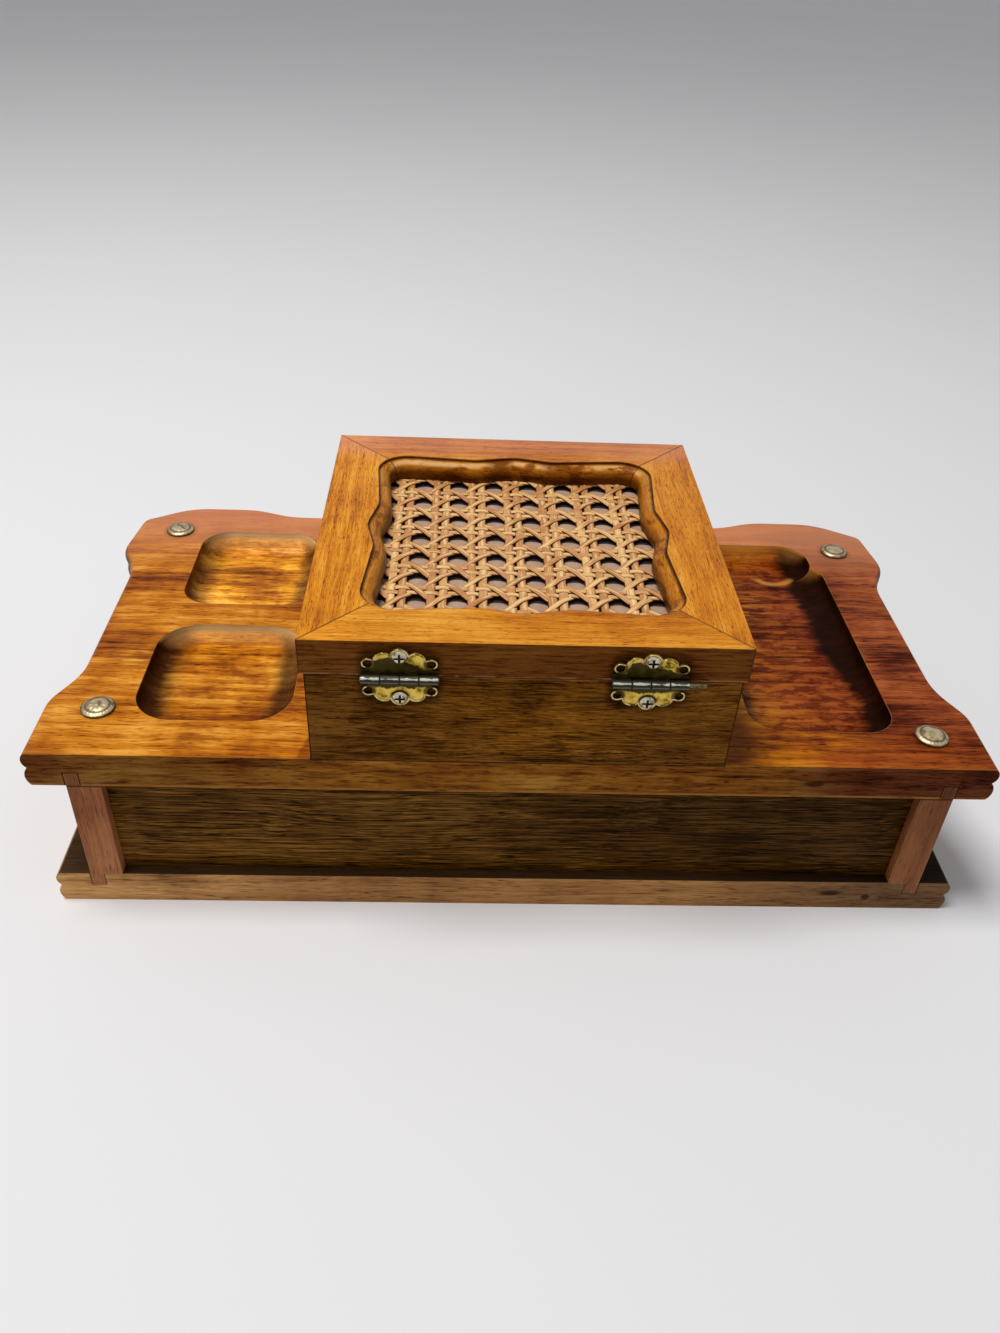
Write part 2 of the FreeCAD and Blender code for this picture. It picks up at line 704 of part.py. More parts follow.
def build():
    """All pieces by node name."""
    parts = {}
    parts["base_board"] = scalloped_board(0.0).cut(tongue_slots(floor_z - tongue_depth))
    parts["left_side"] = side_board(-1)
    parts["right_side"] = side_board(1)
    parts["back_panel"] = block(
        -side_inner_x - panel_groove_depth, side_inner_x + panel_groove_depth,
        panel_front_y, panel_back_y, floor_z, shelf_z)
    parts["top_board"] = scalloped_board(shelf_z).cut(
        [tongue_slots(shelf_z)] + tray_cutters() + nail_holes())
    parts["corner_studs"] = corner_nails()

    walls = mitred_frame(box_half_width, box_front_y, back_y, box_wall, top_z, box_top_z)
    walls["back"] = walls["back"].cut(screw_pilots(-1))
    for name, wall in walls.items():
        parts["box_" + name] = wall
    pad_half_width = box_half_width - box_wall - felt_clearance
    parts["box_lining"] = block(
        -pad_half_width, pad_half_width, box_front_y + box_wall + felt_clearance,
        back_y - box_wall - felt_clearance, top_z, top_z + felt_thickness)

    rails = lid_rails()
    rails["back"] = rails["back"].cut(screw_pilots(1))
    for name, rail in rails.items():
        parts["lid_rail_" + name] = rail
    parts["cane_panel"] = cane_panel()
    parts["lid_backing"] = lid_backing()

    for name, side, slip in (("left", -1, left_pin_slip), ("right", 1, 0.0)):
        parts[name + "_hinge_leaf_upper"] = hinge_leaf(side * hinge_spread, 1)
        parts[name + "_hinge_leaf_lower"] = hinge_leaf(side * hinge_spread, -1)
        parts[name + "_hinge_pin"] = hinge_pin(side * hinge_spread, slip)
    parts["hinge_screws_lid"] = hinge_screws(1)
    parts["hinge_screws_box"] = hinge_screws(-1)

    parts["drawer_front"] = drawer_front()
    parts["drawer_side_left"] = drawer_side(-1)
    parts["drawer_side_right"] = drawer_side(1)
    parts["drawer_back"] = drawer_back()
    parts["drawer_bottom"] = drawer_floor()
    parts["drawer_lining"] = drawer_lining()
    parts["drawer_knob_left"] = drawer_knob(-knob_spread)
    parts["drawer_knob_right"] = drawer_knob(knob_spread)
    parts["knob_screws"] = knob_screws()
    return parts


os.makedirs("parts", exist_ok=True)
for node, shape in build().items():
    shape.exportStep("parts/" + node + ".step")
    print(node, "solids", len(shape.Solids), "valid", shape.isValid(), "volume", round(shape.Volume, 1))
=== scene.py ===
"""Dresses the jewelry chest: varnished wood, woven cane, brass hinges, relief nails, knobs and felt."""

import math
import random

import bpy
from mathutils import Euler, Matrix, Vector

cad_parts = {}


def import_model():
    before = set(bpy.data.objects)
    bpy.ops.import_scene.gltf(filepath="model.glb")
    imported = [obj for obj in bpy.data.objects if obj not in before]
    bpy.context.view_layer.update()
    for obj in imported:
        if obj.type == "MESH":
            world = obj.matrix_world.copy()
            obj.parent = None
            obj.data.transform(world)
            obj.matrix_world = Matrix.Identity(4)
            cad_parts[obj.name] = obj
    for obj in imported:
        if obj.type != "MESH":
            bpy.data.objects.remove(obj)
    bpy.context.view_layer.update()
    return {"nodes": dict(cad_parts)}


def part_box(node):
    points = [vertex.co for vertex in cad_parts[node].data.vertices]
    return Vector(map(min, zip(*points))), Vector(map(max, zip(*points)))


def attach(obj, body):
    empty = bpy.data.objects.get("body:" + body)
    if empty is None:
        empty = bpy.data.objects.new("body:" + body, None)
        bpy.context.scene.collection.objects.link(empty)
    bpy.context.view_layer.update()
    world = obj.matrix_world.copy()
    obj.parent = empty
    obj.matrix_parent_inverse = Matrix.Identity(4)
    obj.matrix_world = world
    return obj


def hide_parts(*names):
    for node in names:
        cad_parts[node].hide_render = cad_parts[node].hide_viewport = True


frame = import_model()
nodes = frame["nodes"]

# Sizes are in millimetres, except where a comment says otherwise.
MM = 0.001

# Camera of the photograph: place in metres, turn in degrees
CAMERA_PLACE = (0.02028, 0.32123, 0.28628)
CAMERA_TURN = (52.95604, -2.37784, 178.79888)
CAMERA_LENS = 28.71
CAMERA_SENSOR = 36.0

# Lamp, in metres and watts, the strength of the world's light, and the floor's half width in metres
LAMP_PLACE = (0.42, 0.1, 1.45)
LAMP_TARGET = (0, 0, 0.05)
LAMP_SIZE = 0.5
LAMP_POWER = 15.6
LAMP_COLOUR = (1.0, 0.99, 0.97)
FILL_STRENGTH = 0.31
FLOOR_REACH = 6.0

# Trays in the top board: distances from the middle of the chest, and the radius of their corners
TRAY_INNER = 76.5
TRAY_OUTER = 124.0
TRAY_BACK = 60.6
TRAY_CORNER = 10.5

# Nails: which end, which long edge, and the distances from both
NAILS = ((1, 1, 17.8, 22.3), (1, -1, 19.4, 19.7), (-1, 1, 17.2, 15.5), (-1, -1, 17.6, 24.0))
NAIL_RADIUS = 5.4
NAIL_HEIGHT = 2.5

# Cane weave: pitch of the holes, its place in the panel, and the strands' spacing, size and lift
CANE_PITCH = 12.7
CANE_SHIFT = 1.25
CANE_DRIFT = -3.8
UPRIGHT_HALF = 1.8
UPRIGHT_STRAND_HALF = 1.7
LEVEL_HALF = 1.42
LEVEL_STRAND_HALF = 1.32
PAIR_LIFT = 0.24
PAIR_SWING = 0.14
PAIR_MARGIN = 1.0
CROSS_STRAND_HALF = 1.24
CROSS_LIFT = 0.5
CROSS_BOW = 0.2
STRAND_THICKNESS = 0.5
CANE_MARGIN = 0.4
CANE_STEP = 1.0

# Hinges: lobes of a leaf as (across, up, radius) from the middle of the hinge, the screw's first
HINGE_SPREAD = 36.3
LEAF_CIRCLES = ((0.0, 7.3, 2.9), (-9.2, 4.9, 1.9), (9.2, 4.9, 1.9), (-4.6, 5.7, 3.1), (4.6, 5.7, 3.1))
SCREW_UP = LEAF_CIRCLES[0][1]
LOBE_ACROSS, LOBE_UP = LEAF_CIRCLES[2][:2]
LEAF_THICKNESS = 0.8
LEAF_HOLE_RADIUS = 1.35
KNUCKLE_WIDTH = 5.55

# Half the width of a side board's tongue, and the place of the trees' heart beside the boards
TONGUE_HALF = 2.1
PITH = (60.0, -90.0)


def box_mm(name):
    """Lowest and highest corners of a node."""
    low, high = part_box(name)
    return low / MM, high / MM


BOARD_LOW, BOARD_HIGH = box_mm("top_board")
BASE_TOP = box_mm("base_board")[1].z
LID_LOW, LID_HIGH = box_mm("lid_rail_left")
LID_HALF_DEPTH = (LID_HIGH.y - LID_LOW.y) / 2
LID_MIDDLE = (LID_HIGH.y + LID_LOW.y) / 2
LID_HALF_WIDTH = box_mm("lid_rail_back")[1].x
CANE_LOW, CANE_HIGH = box_mm("cane_panel")
BACKING_LOW, BACKING_HIGH = box_mm("lid_backing")
PIN_LOW, PIN_HIGH = box_mm("right_hinge_pin")
PIN_LEVEL = (PIN_LOW.z + PIN_HIGH.z) / 2
LEAF_FACE = BOARD_HIGH.y + LEAF_THICKNESS
SIDE_LOW, SIDE_HIGH = box_mm("left_side")
TONGUE_MIDDLE = max(abs(SIDE_LOW.x), abs(SIDE_HIGH.x)) - TONGUE_HALF
BOX_HALF_WIDTH = box_mm("box_back")[1].x
BOX_FRONT = box_mm("box_front")[0].y
NAIL_CENTERS = [
    (end * (BOARD_HIGH.x - from_end), edge * (BOARD_HIGH.y - from_edge))
    for end, edge, from_end, from_edge in NAILS]


def tint(red, green, blue):
    """Linear colour of 8-bit display values."""
    linear = []
    for value in (red, green, blue):
        share = value / 255
        linear.append(share / 12.92 if share <= 0.04045 else ((share + 0.055) / 1.055) ** 2.4)
    return (*linear, 1.0)


class Graph:
    """Node tree of one material, with a short call for each kind of node in use."""

    def __init__(self, name):
        self.material = bpy.data.materials.new(name)
        self.material.use_nodes = True
        self.tree = self.material.node_tree
        self.tree.nodes.clear()

    def node(self, kind, inputs=None, **settings):
        made = self.tree.nodes.new(kind)
        for key, value in settings.items():
            setattr(made, key, value)
        for key, value in (inputs or {}).items():
            if isinstance(value, bpy.types.NodeSocket):
                self.tree.links.new(value, made.inputs[key])
            else:
                made.inputs[key].default_value = value
        return made

    def math(self, operation, *values):
        return self.node("ShaderNodeMath", dict(enumerate(values)), operation=operation).outputs[0]

    def chain(self, operation, values):
        total = values[0]
        for value in values[1:]:
            total = self.math(operation, total, value)
        return total

    def minus(self, first, second):
        return self.math("SUBTRACT", first, second)

    def rest(self, share):
        return self.minus(1.0, share)

    def times(self, *values):
        return self.chain("MULTIPLY", values)

    def plus(self, *values):
        return self.chain("ADD", values)

    def most(self, *values):
        return self.chain("MAXIMUM", values)

    def least(self, *values):
        return self.chain("MINIMUM", values)

    def away(self, value, center=0.0):
        """Distance from a centre, along one axis."""
        return self.math("ABSOLUTE", self.minus(value, center))

    def length(self, first, second):
        """Length of a flat vector."""
        return self.math("SQRT", self.plus(self.times(first, first), self.times(second, second)))

    def around(self, weight, value, center=0.5):
        """Value's weighted swing about its centre."""
        return self.math("MULTIPLY_ADD", value, weight, -weight * center)

    def fit(self, value, low, high, to_low=0.0, to_high=1.0):
        """Smooth step from low to high."""
        inputs = {0: value, 1: low, 2: high, 3: to_low, 4: to_high}
        return self.node("ShaderNodeMapRange", inputs, interpolation_type="SMOOTHSTEP").outputs[0]

    def mix(self, share, first, second, kind="MIX"):
        inputs = {0: share, 6: first, 7: second}
        made = self.node("ShaderNodeMix", inputs, data_type="RGBA", blend_type=kind)
        return made.outputs[2]

    def stain_and_shade(self, share, colour, factor):
        """Colour multiplied by a factor, in a share."""
        return self.mix(share, colour, self.mix(1.0, colour, (*factor, 1.0), "MULTIPLY"))

    def tones(self, value, colours, places=(0.0, 0.36, 0.7, 1.0)):
        """Colour of a value between tones from light to dark."""
        made = self.node("ShaderNodeValToRGB", {0: value})
        stops = made.color_ramp.elements
        stops[0].color = colours[0]
        stops[-1].color = colours[-1]
        for place, colour in zip(places[1:-1], colours[1:-1]):
            stops.new(place).color = colour
        return made.outputs[0]

    def split(self, vector):
        return self.node("ShaderNodeSeparateXYZ", {0: vector}).outputs[:]

    def join(self, x, y, z):
        return self.node("ShaderNodeCombineXYZ", {0: x, 1: y, 2: z}).outputs[0]

    def stretch(self, vector, scale, shift=(0.0, 0.0, 0.0)):
        inputs = {"Vector": vector, "Location": shift, "Scale": scale}
        return self.node("ShaderNodeMapping", inputs).outputs[0]

    def noise(self, vector, detail=2.0, roughness=0.5):
        inputs = {"Vector": vector, "Scale": 1.0, "Detail": detail, "Roughness": roughness}
        return self.node("ShaderNodeTexNoise", inputs).outputs["Fac"]

    def place(self):
        """Place on the object in millimetres."""
        return self.stretch(self.node("ShaderNodeTexCoord").outputs["Object"], (1000, 1000, 1000))

    def facing(self):
        return self.split(self.node("ShaderNodeTexCoord").outputs["Normal"])

    def bump(self, height, strength, distance, normal=None):
        inputs = {"Height": height, "Strength": strength, "Distance": distance * MM}
        if normal is not None:
            inputs["Normal"] = normal
        return self.node("ShaderNodeBump", inputs).outputs[0]

    def soft_edge(self, radius):
        """Normal that rounds the edges, and how much of an edge a spot is."""
        normal = self.node("ShaderNodeBevel", {"Radius": radius * MM}, samples=4).outputs[0]
        true = self.node("ShaderNodeNewGeometry").outputs["True Normal"]
        bend = self.node("ShaderNodeVectorMath", {0: normal, 1: true}, operation="DOT_PRODUCT")
        return normal, self.fit(bend.outputs["Value"], 0.97, 0.84)

    def hollow(self, distance, low, high):
        """How deep in a hollow of its own piece a spot lies."""
        inputs = {"Distance": distance * MM}
        open_share = self.node("ShaderNodeAmbientOcclusion", inputs, samples=6, only_local=True)
        return self.fit(open_share.outputs["AO"], high, low)

    def close(self, inputs):
        shader = self.node("ShaderNodeBsdfPrincipled", inputs)
        output = self.node("ShaderNodeOutputMaterial")
        self.tree.links.new(shader.outputs[0], output.inputs[0])
        return self.material


# Tones of each wood, from light to dark: light, middle, dark and pore
HONEY = (tint(230, 164, 60), tint(206, 126, 16), tint(156, 78, 2), tint(84, 36, 0))
GOLD = (tint(240, 172, 70), tint(200, 118, 16), tint(134, 62, 4), tint(58, 22, 2))
MAHOGANY = (tint(184, 102, 50), tint(148, 68, 22), tint(88, 28, 6), tint(36, 11, 2))
UMBER = (tint(158, 104, 28), tint(122, 72, 4), tint(76, 40, 0), tint(34, 18, 0))
OLIVE = (tint(160, 112, 44), tint(112, 70, 12), tint(60, 34, 2), tint(22, 12, 0))
CHESTNUT = (tint(204, 154, 96), tint(176, 124, 70), tint(128, 80, 40), tint(58, 30, 14))
RUSSET = (tint(190, 128, 84), tint(160, 98, 60), tint(116, 64, 38), tint(50, 24, 14))
PLAIN = (tint(214, 172, 116), tint(196, 150, 92), tint(158, 112, 62), tint(100, 64, 32))


def wood(name, tones, grain="x", shift=(0.0, 0.0, 0.0), second=None, share=None, stain_and_shade=None, lines=None,
         lift=None, level=0.36, streaks=(0.04, 0.9), streak_share=1.3, blotch=1.0, bands=(0.012, 0.16),
         dash=(0.16, 3.0), dash_share=0.4, ring_width=5.0, hollow_shade_share=0.75, wear_and_highlight_share=0.5,
         roughness=0.38, gloss=0.15):
    """Varnished wood with rings, streaks and pores that run along the grain through the solid.

    Streaks, bands and dash are noise scales along and across the grain. The functions given get the
    graph, and read its place, facing, cloud and streak: share says where the second tones are, stain
    and lines change the colour with stains, joints and painted light and shade, and lift says how far
    the shading is turned upwards.
    """
    g = Graph(name)
    g.x, g.y, g.z = g.split(g.place())
    g.toward, g.up = g.facing()[1:]
    order = {"x": (g.x, g.y, g.z), "y": (g.y, g.x, g.z), "z": (g.z, g.x, g.y)}[grain]
    run = g.stretch(g.join(*order), (1, 1, 1), shift)

    def noise(source, along, across, offset=(0.0, 0.0, 0.0), detail=3.0, rough=0.5):
        return g.noise(g.stretch(source, (along, across, across), offset), detail, rough)

    wander = g.around(7.0, noise(run, 0.011, 0.05, detail=2.0))
    along, across, rise = g.split(run)
    across = g.plus(across, wander)
    rise = g.plus(rise, wander)
    bent = g.join(along, across, rise)
    radius = g.length(g.plus(across, PITH[0]), g.plus(rise, PITH[1]))
    uneven = noise(bent, 0.004, 0.03, detail=2.0)
    rings = g.math("FRACT", g.plus(g.math("DIVIDE", radius, ring_width), g.times(uneven, 3.0)))
    late = g.times(g.fit(rings, 0.25, 0.9), g.fit(rings, 1.0, 0.94))
    g.streak = noise(bent, *streaks, rough=0.62)
    g.cloud = noise(run, 0.018, 0.04, (9, 3, 1))
    band = noise(bent, *bands, (4, 8, 15), rough=0.6)
    ripple = noise(run, 0.09, 0.03, (16, 23, 42))
    vein = g.fit(noise(bent, 0.05, 1.5, (31, 7, 5), rough=0.6), 0.55, 0.70)
    fibre = noise(bent, 0.12, 4.0, rough=0.6)
    fleck = g.fit(noise(bent, *dash, (3, 11, 17), detail=1.0), 0.58, 0.70)

    shade = g.plus(
        level, g.around(streak_share, g.streak), g.around(0.7 * blotch, band),
        g.around(0.5 * blotch, ripple), g.around(1.1 * blotch, g.cloud), g.around(0.15 * blotch, late, 0.3),
        g.around(0.6, fibre), g.times(vein, 0.25 * streak_share), g.times(fleck, dash_share))
    colour = g.tones(shade, tones)
    if second is not None:
        colour = g.mix(share(g), colour, g.tones(shade, second))
    normal, edge = g.soft_edge(0.45)
    if lift is not None:
        upright = {0: lift(g), 4: normal, 5: (0.0, 0.0, 1.0)}
        normal = g.node("ShaderNodeMix", upright, data_type="VECTOR").outputs[1]
    if stain_and_shade is not None:
        colour = stain_and_shade(g, colour)
    # Painted shade: darker in the piece's own hollows, coves and creases
    hollow = g.hollow(4.0, 0.35, 0.85)
    colour = g.mix(g.times(hollow, hollow_shade_share), colour, tones[3])
    # Wear and a painted highlight: paler along the arrises, except in the hollows
    wear_and_highlight = g.times(edge, g.rest(hollow), g.fit(g.cloud, 0.3, 0.6), wear_and_highlight_share)
    colour = g.mix(wear_and_highlight, colour, g.mix(0.3, tones[0], tint(236, 196, 140)))
    # Dark lines at joints and arrises, and painted shade in the lid's quirk
    if lines is not None:
        colour = g.mix(lines(g), colour, tint(30, 13, 5))
    height = g.minus(g.times(fibre, 0.3), fleck)
    sheen = g.plus(g.math("MULTIPLY_ADD", fibre, 0.16, roughness - 0.08), g.times(fleck, 0.15))
    return g.close({
        "Base Color": colour, "Roughness": sheen, "Normal": g.bump(height, 0.3, 0.12, normal),
        "Specular IOR Level": g.fit(colour, 0.005, 0.08, 0.25 * gloss, gloss),
        "Specular Tint": (1.0, 0.74, 0.4, 1.0)})


def dress(material, *names):
    """Gives CAD nodes their material."""
    for name in names:
        mesh = nodes[name].data
        mesh.materials.clear()
        mesh.materials.append(material)


def new_piece(name, vertices, faces, material, body, replaced=()):
    """Piece of the given vertices that moves with a body."""
    mesh = bpy.data.meshes.new(name)
    mesh.from_pydata([Vector(v) * MM for v in vertices], [], faces)
    mesh.validate()
    mesh.materials.append(material)
    mesh.polygons.foreach_set("use_smooth", [True] * len(mesh.polygons))
    mesh.update()
    piece = bpy.data.objects.new(name, mesh)
    bpy.context.scene.collection.objects.link(piece)
    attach(piece, body)
    if replaced:
        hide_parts(*replaced)
    return piece


def ring_faces(first, rows, around):
    """Faces between rings of points, the first of which has the given index, with both ends closed."""
    faces = []
    for row in range(rows - 1):
        low = first + row * around
        for index in range(around):
            after = (index + 1) % around
            faces.append((low + index, low + after, low + around + after, low + around + index))
    last = first + (rows - 1) * around
    faces.append(tuple(reversed(range(first, first + around))))
    faces.append(tuple(range(last, last + around)))
    return faces


# Boards and carcass

def spot(g, first, second, center, reach):
    """Share of a soft round patch."""
    first = g.math("DIVIDE", g.minus(first, center[0]), reach[0])
    second = g.math("DIVIDE", g.minus(second, center[1]), reach[1])
    return g.fit(g.plus(g.times(first, first), g.times(second, second)), 1.3, 0.2)


def spots(g, first, second, patches):
    """Share of several soft round patches, each a centre and a reach."""
    return g.most(*(spot(g, first, second, center, reach) for center, reach in patches))


def spot_distance(g, first, second, center):
    return g.length(g.minus(first, center[0]), g.minus(second, center[1]))


def at_back(g):
    """Share of the faces that are level with the boards' back edge."""
    return g.fit(g.y, BOARD_HIGH.y - 0.6, BOARD_HIGH.y - 0.3)


def reddening(g):
    """Golden at +X and beside the box, red-brown towards -X, the ends and the front edge."""
    wave = g.around(80.0, g.cloud)
    end = g.fit(g.plus(g.x, wave), 118.0, 160.0, 0.0, 0.6)
    left = g.fit(g.plus(g.x, wave), -76.0, -116.0)
    front = g.fit(g.plus(g.y, g.times(wave, 0.5)), -40.0, -72.0, 0.0, 0.85)
    return g.most(end, left, front)


def tongue_line(g, end, way):
    """Dark line round the tongue of a side board, whose end is at a level."""
    across = g.minus(g.away(g.away(g.x), TONGUE_MIDDLE), TONGUE_HALF)
    beyond = g.math("MULTIPLY_ADD", g.z, way, -end * way)
    return g.times(g.fit(g.most(across, beyond), 0.65, 0.25), at_back(g), 0.85)


def tray_share(g):
    """Whether a spot is in the part of a wing that holds the trays."""
    return g.times(
        g.fit(g.away(g.x), TRAY_OUTER + 4.0, TRAY_OUTER + 2.0), g.fit(g.y, TRAY_BACK + 4.0, TRAY_BACK + 2.0),
        g.fit(g.y, -TRAY_BACK - 2.0, -TRAY_BACK), g.fit(g.away(g.x), 66.0, 68.0))


def tray_lift(g):
    """How far the walls that face the hinges are shaded as if they were level."""
    return g.times(tray_share(g), g.fit(g.toward, 0.1, 0.5), g.fit(g.x, -70.0, 60.0, 0.4, 0.6))


def top_board_stain_and_light(g, colour):
    """Painted pinkish sheen at the front, smoky patches, trays with painted light and shade, dark rings
    round the nails, the box's painted shadow, and darker edges partly with painted shade.
    """
    x, y, z = g.x, g.y, g.z
    ragged = g.noise(g.stretch(g.join(x, y, z), (0.10, 0.55, 0.3)), 3.0, 0.6)
    in_tray = tray_share(g)
    deep = g.times(in_tray, g.fit(z, BOARD_HIGH.z - 0.5, BOARD_HIGH.z - 2.6))
    level = g.times(g.fit(g.up, 0.6, 0.95), g.rest(deep))
    dark_wing = g.fit(x, 1.0, -1.0)
    # Painted sheen: paler and pinker towards the front
    front = g.fit(y, -26.0, -70.0, 0.0, 0.6)
    colour = g.mix(g.times(front, level), colour, tint(226, 148, 104))
    smoke = spots(g, x, y, (
        ((-133, 18), (13, 12)), ((-134, -14), (13, 9)), ((-88, -20), (14, 16)), ((128, 27), (11, 7))))
    smoke = g.times(smoke, g.fit(g.plus(g.streak, g.around(0.6, ragged)), 0.42, 0.58), 0.75)
    colour = g.stain_and_shade(smoke, colour, (0.42, 0.34, 0.45))
    colour = tray_stain_and_light(g, colour, ragged, in_tray, deep, dark_wing)
    smudge = g.times(spot(g, x, y, (101, 69), (7, 9)), g.fit(ragged, 0.42, 0.56), 0.6)
    colour = g.stain_and_shade(smudge, colour, (0.5, 0.36, 0.3))
    for center in NAIL_CENTERS:
        ring = spot(g, x, y, center, (NAIL_RADIUS + 1.3, NAIL_RADIUS + 1.3))
        colour = g.stain_and_shade(g.times(ring, 0.6), colour, (0.4, 0.36, 0.4))
    # Golden at the back of the wing at -X
    colour = g.stain_and_shade(g.times(level, dark_wing, g.fit(y, 56.0, 64.0)), colour, (1.0, 0.96, 0.4))
    colour = painted_box_shadow(g, colour, ragged, level)
    return board_edge_stain_and_light(g, colour, ragged, in_tray)


def tray_stain_and_light(g, colour, ragged, in_tray, deep, dark_wing):
    """Outer and inner walls nearly black with painted shade and some dark staining, streaky floors,
    painted light on the front tray's floor, and painted highlights on the walls that face the hinges.
    """
    x, y, z = g.x, g.y, g.z
    blur = g.plus(g.around(6.0, ragged), g.around(10.0, g.cloud))
    # Dark walls and corners: painted shade, partly dark staining
    outer = g.plus(g.away(x), blur)
    long_outer = g.plus(outer, g.fit(y, -30.0, 55.0, 0.5, -6.5))
    outer_wall_shade = g.mix(dark_wing, g.fit(outer, 110.5, 120.5), g.fit(long_outer, 110.0, 115.5))
    inner = g.fit(g.plus(g.away(x), g.times(blur, -0.5)), 85.0, 79.5, 0.0, 0.88)
    turn_x, turn_y = TRAY_INNER + TRAY_CORNER, TRAY_BACK - TRAY_CORNER
    corner = g.fit(spot_distance(g, g.away(x), y, (turn_x, turn_y)), TRAY_CORNER - 4.4, TRAY_CORNER - 2.4)
    corner = g.times(
        corner, g.fit(y, turn_y, TRAY_BACK - 7.0), g.fit(g.away(x), turn_x + 2.0, turn_x - 3.0), 0.95)
    wall_shade = g.times(g.fit(g.up, 0.95, 0.7), g.fit(g.toward, 0.6, 0.2), 0.7)
    below = g.times(in_tray, g.fit(z, BOARD_HIGH.z - 0.15, BOARD_HIGH.z - 0.6))
    spared = g.times(g.fit(x, 1.0, 2.0), g.fit(y, 4.0, 2.0, 0.0, 0.22))
    dark = g.times(below, g.most(outer_wall_shade, inner, wall_shade, corner), g.rest(spared))
    # Floor at -X: red-brown curls
    curl = g.fit(g.plus(g.streak, g.around(0.5, ragged), g.around(0.7, g.cloud)), 0.40, 0.62)
    wavy = g.fit(g.noise(g.stretch(g.join(x, y, z), (0.12, 0.24, 0.1), (7, 0, 3)), 4.0, 0.65), 0.46, 0.58)
    curls = g.most(g.times(curl, dark_wing, deep, 0.6), g.times(wavy, dark_wing, deep))
    colour = g.stain_and_shade(g.times(deep, dark_wing), colour, (0.86, 0.72, 0.4))
    colour = g.stain_and_shade(g.times(curls, 0.8), colour, (0.34, 0.17, 0.14))
    # Floors at +X: golden and mottled, and paler in the front tray with painted light
    mottle = g.noise(g.stretch(g.join(x, y, z), (0.07, 0.11, 0.05), (1, 6, 2)), 3.0, 0.6)
    golden = g.times(deep, g.fit(x, 70.0, 80.0))
    colour = g.stain_and_shade(g.times(golden, g.fit(mottle, 0.47, 0.36)), colour, (0.62, 0.5, 0.45))
    colour = g.stain_and_shade(g.times(golden, g.fit(mottle, 0.53, 0.64)), colour, (1.22, 1.36, 1.5))
    pale = g.times(deep, g.fit(x, 74.0, 84.0), g.fit(g.plus(y, blur), 6.0, -8.0))
    colour = g.stain_and_shade(pale, colour, (1.75, 2.3, 5.0))
    # Painted shade on the walls and corners
    colour = g.mix(g.times(dark, 0.95), colour, g.mix(dark_wing, tint(42, 15, 4), tint(20, 7, 3)))
    # Painted highlights on the walls that face the hinges and on their arris, and a curved painted highlight
    # in the end pocket
    bright = g.fit(z, BOARD_HIGH.z - 4.5, BOARD_HIGH.z - 0.6, 0.25, 0.97)
    bright = g.times(in_tray, g.fit(g.toward, 0.2, 0.7), bright)
    highlight_reach = g.most(g.fit(x, 50.0, 60.0), g.fit(x, -114.0, -100.0, 0.35, 0.85))
    colour = g.mix(g.times(bright, highlight_reach), colour, g.mix(dark_wing, tint(240, 176, 104), tint(220, 140, 50)))
    arris = g.fit(z, BOARD_HIGH.z - 1.5, BOARD_HIGH.z - 0.9)
    arris = g.times(in_tray, g.fit(g.toward, 0.15, 0.5), arris)
    colour = g.mix(g.times(arris, highlight_reach), colour, g.mix(dark_wing, tint(250, 206, 150), tint(226, 150, 70)))
    arc_highlight = g.fit(g.away(spot_distance(g, x, y, (-107.5, -46)), 8.0), 2.2, 0.3)
    arc_highlight = g.times(arc_highlight, deep, g.fit(y, -44.5, -40.0), g.fit(ragged, 0.3, 0.5), 0.6)
    return g.mix(arc_highlight, colour, tint(216, 148, 60))


def painted_box_shadow(g, colour, ragged, level):
    """Painted shadow of the box on the board at -X, and a narrow painted shade at its foot at +X."""
    # Painted shadow cast by the box at -X
    patch = g.fit(g.plus(g.x, g.around(4.0, ragged)), -78.0, -70.0, 0.0, 0.6)
    patch = g.times(
        patch, g.fit(g.x, -BOX_HALF_WIDTH, -BOX_HALF_WIDTH - 1.0), g.fit(g.y, 30.0, 60.0),
        g.fit(g.up, 0.6, 0.95))
    colour = g.stain_and_shade(patch, colour, (0.36, 0.28, 0.22))
    # Painted shade at the box's foot at +X
    slant = g.fit(g.y, 60.0, BOARD_HIGH.y, 0.0, -4.5)
    foot_shadow = g.fit(g.plus(g.minus(g.x, BOX_HALF_WIDTH), g.around(2.0, ragged), slant), 0.6, -0.8)
    foot_shadow = g.times(foot_shadow, g.fit(g.x, 0.0, 1.0), g.fit(g.y, BOX_FRONT, BOX_FRONT + 10.0), level, 0.8)
    return g.stain_and_shade(foot_shadow, colour, (0.5, 0.34, 0.26))


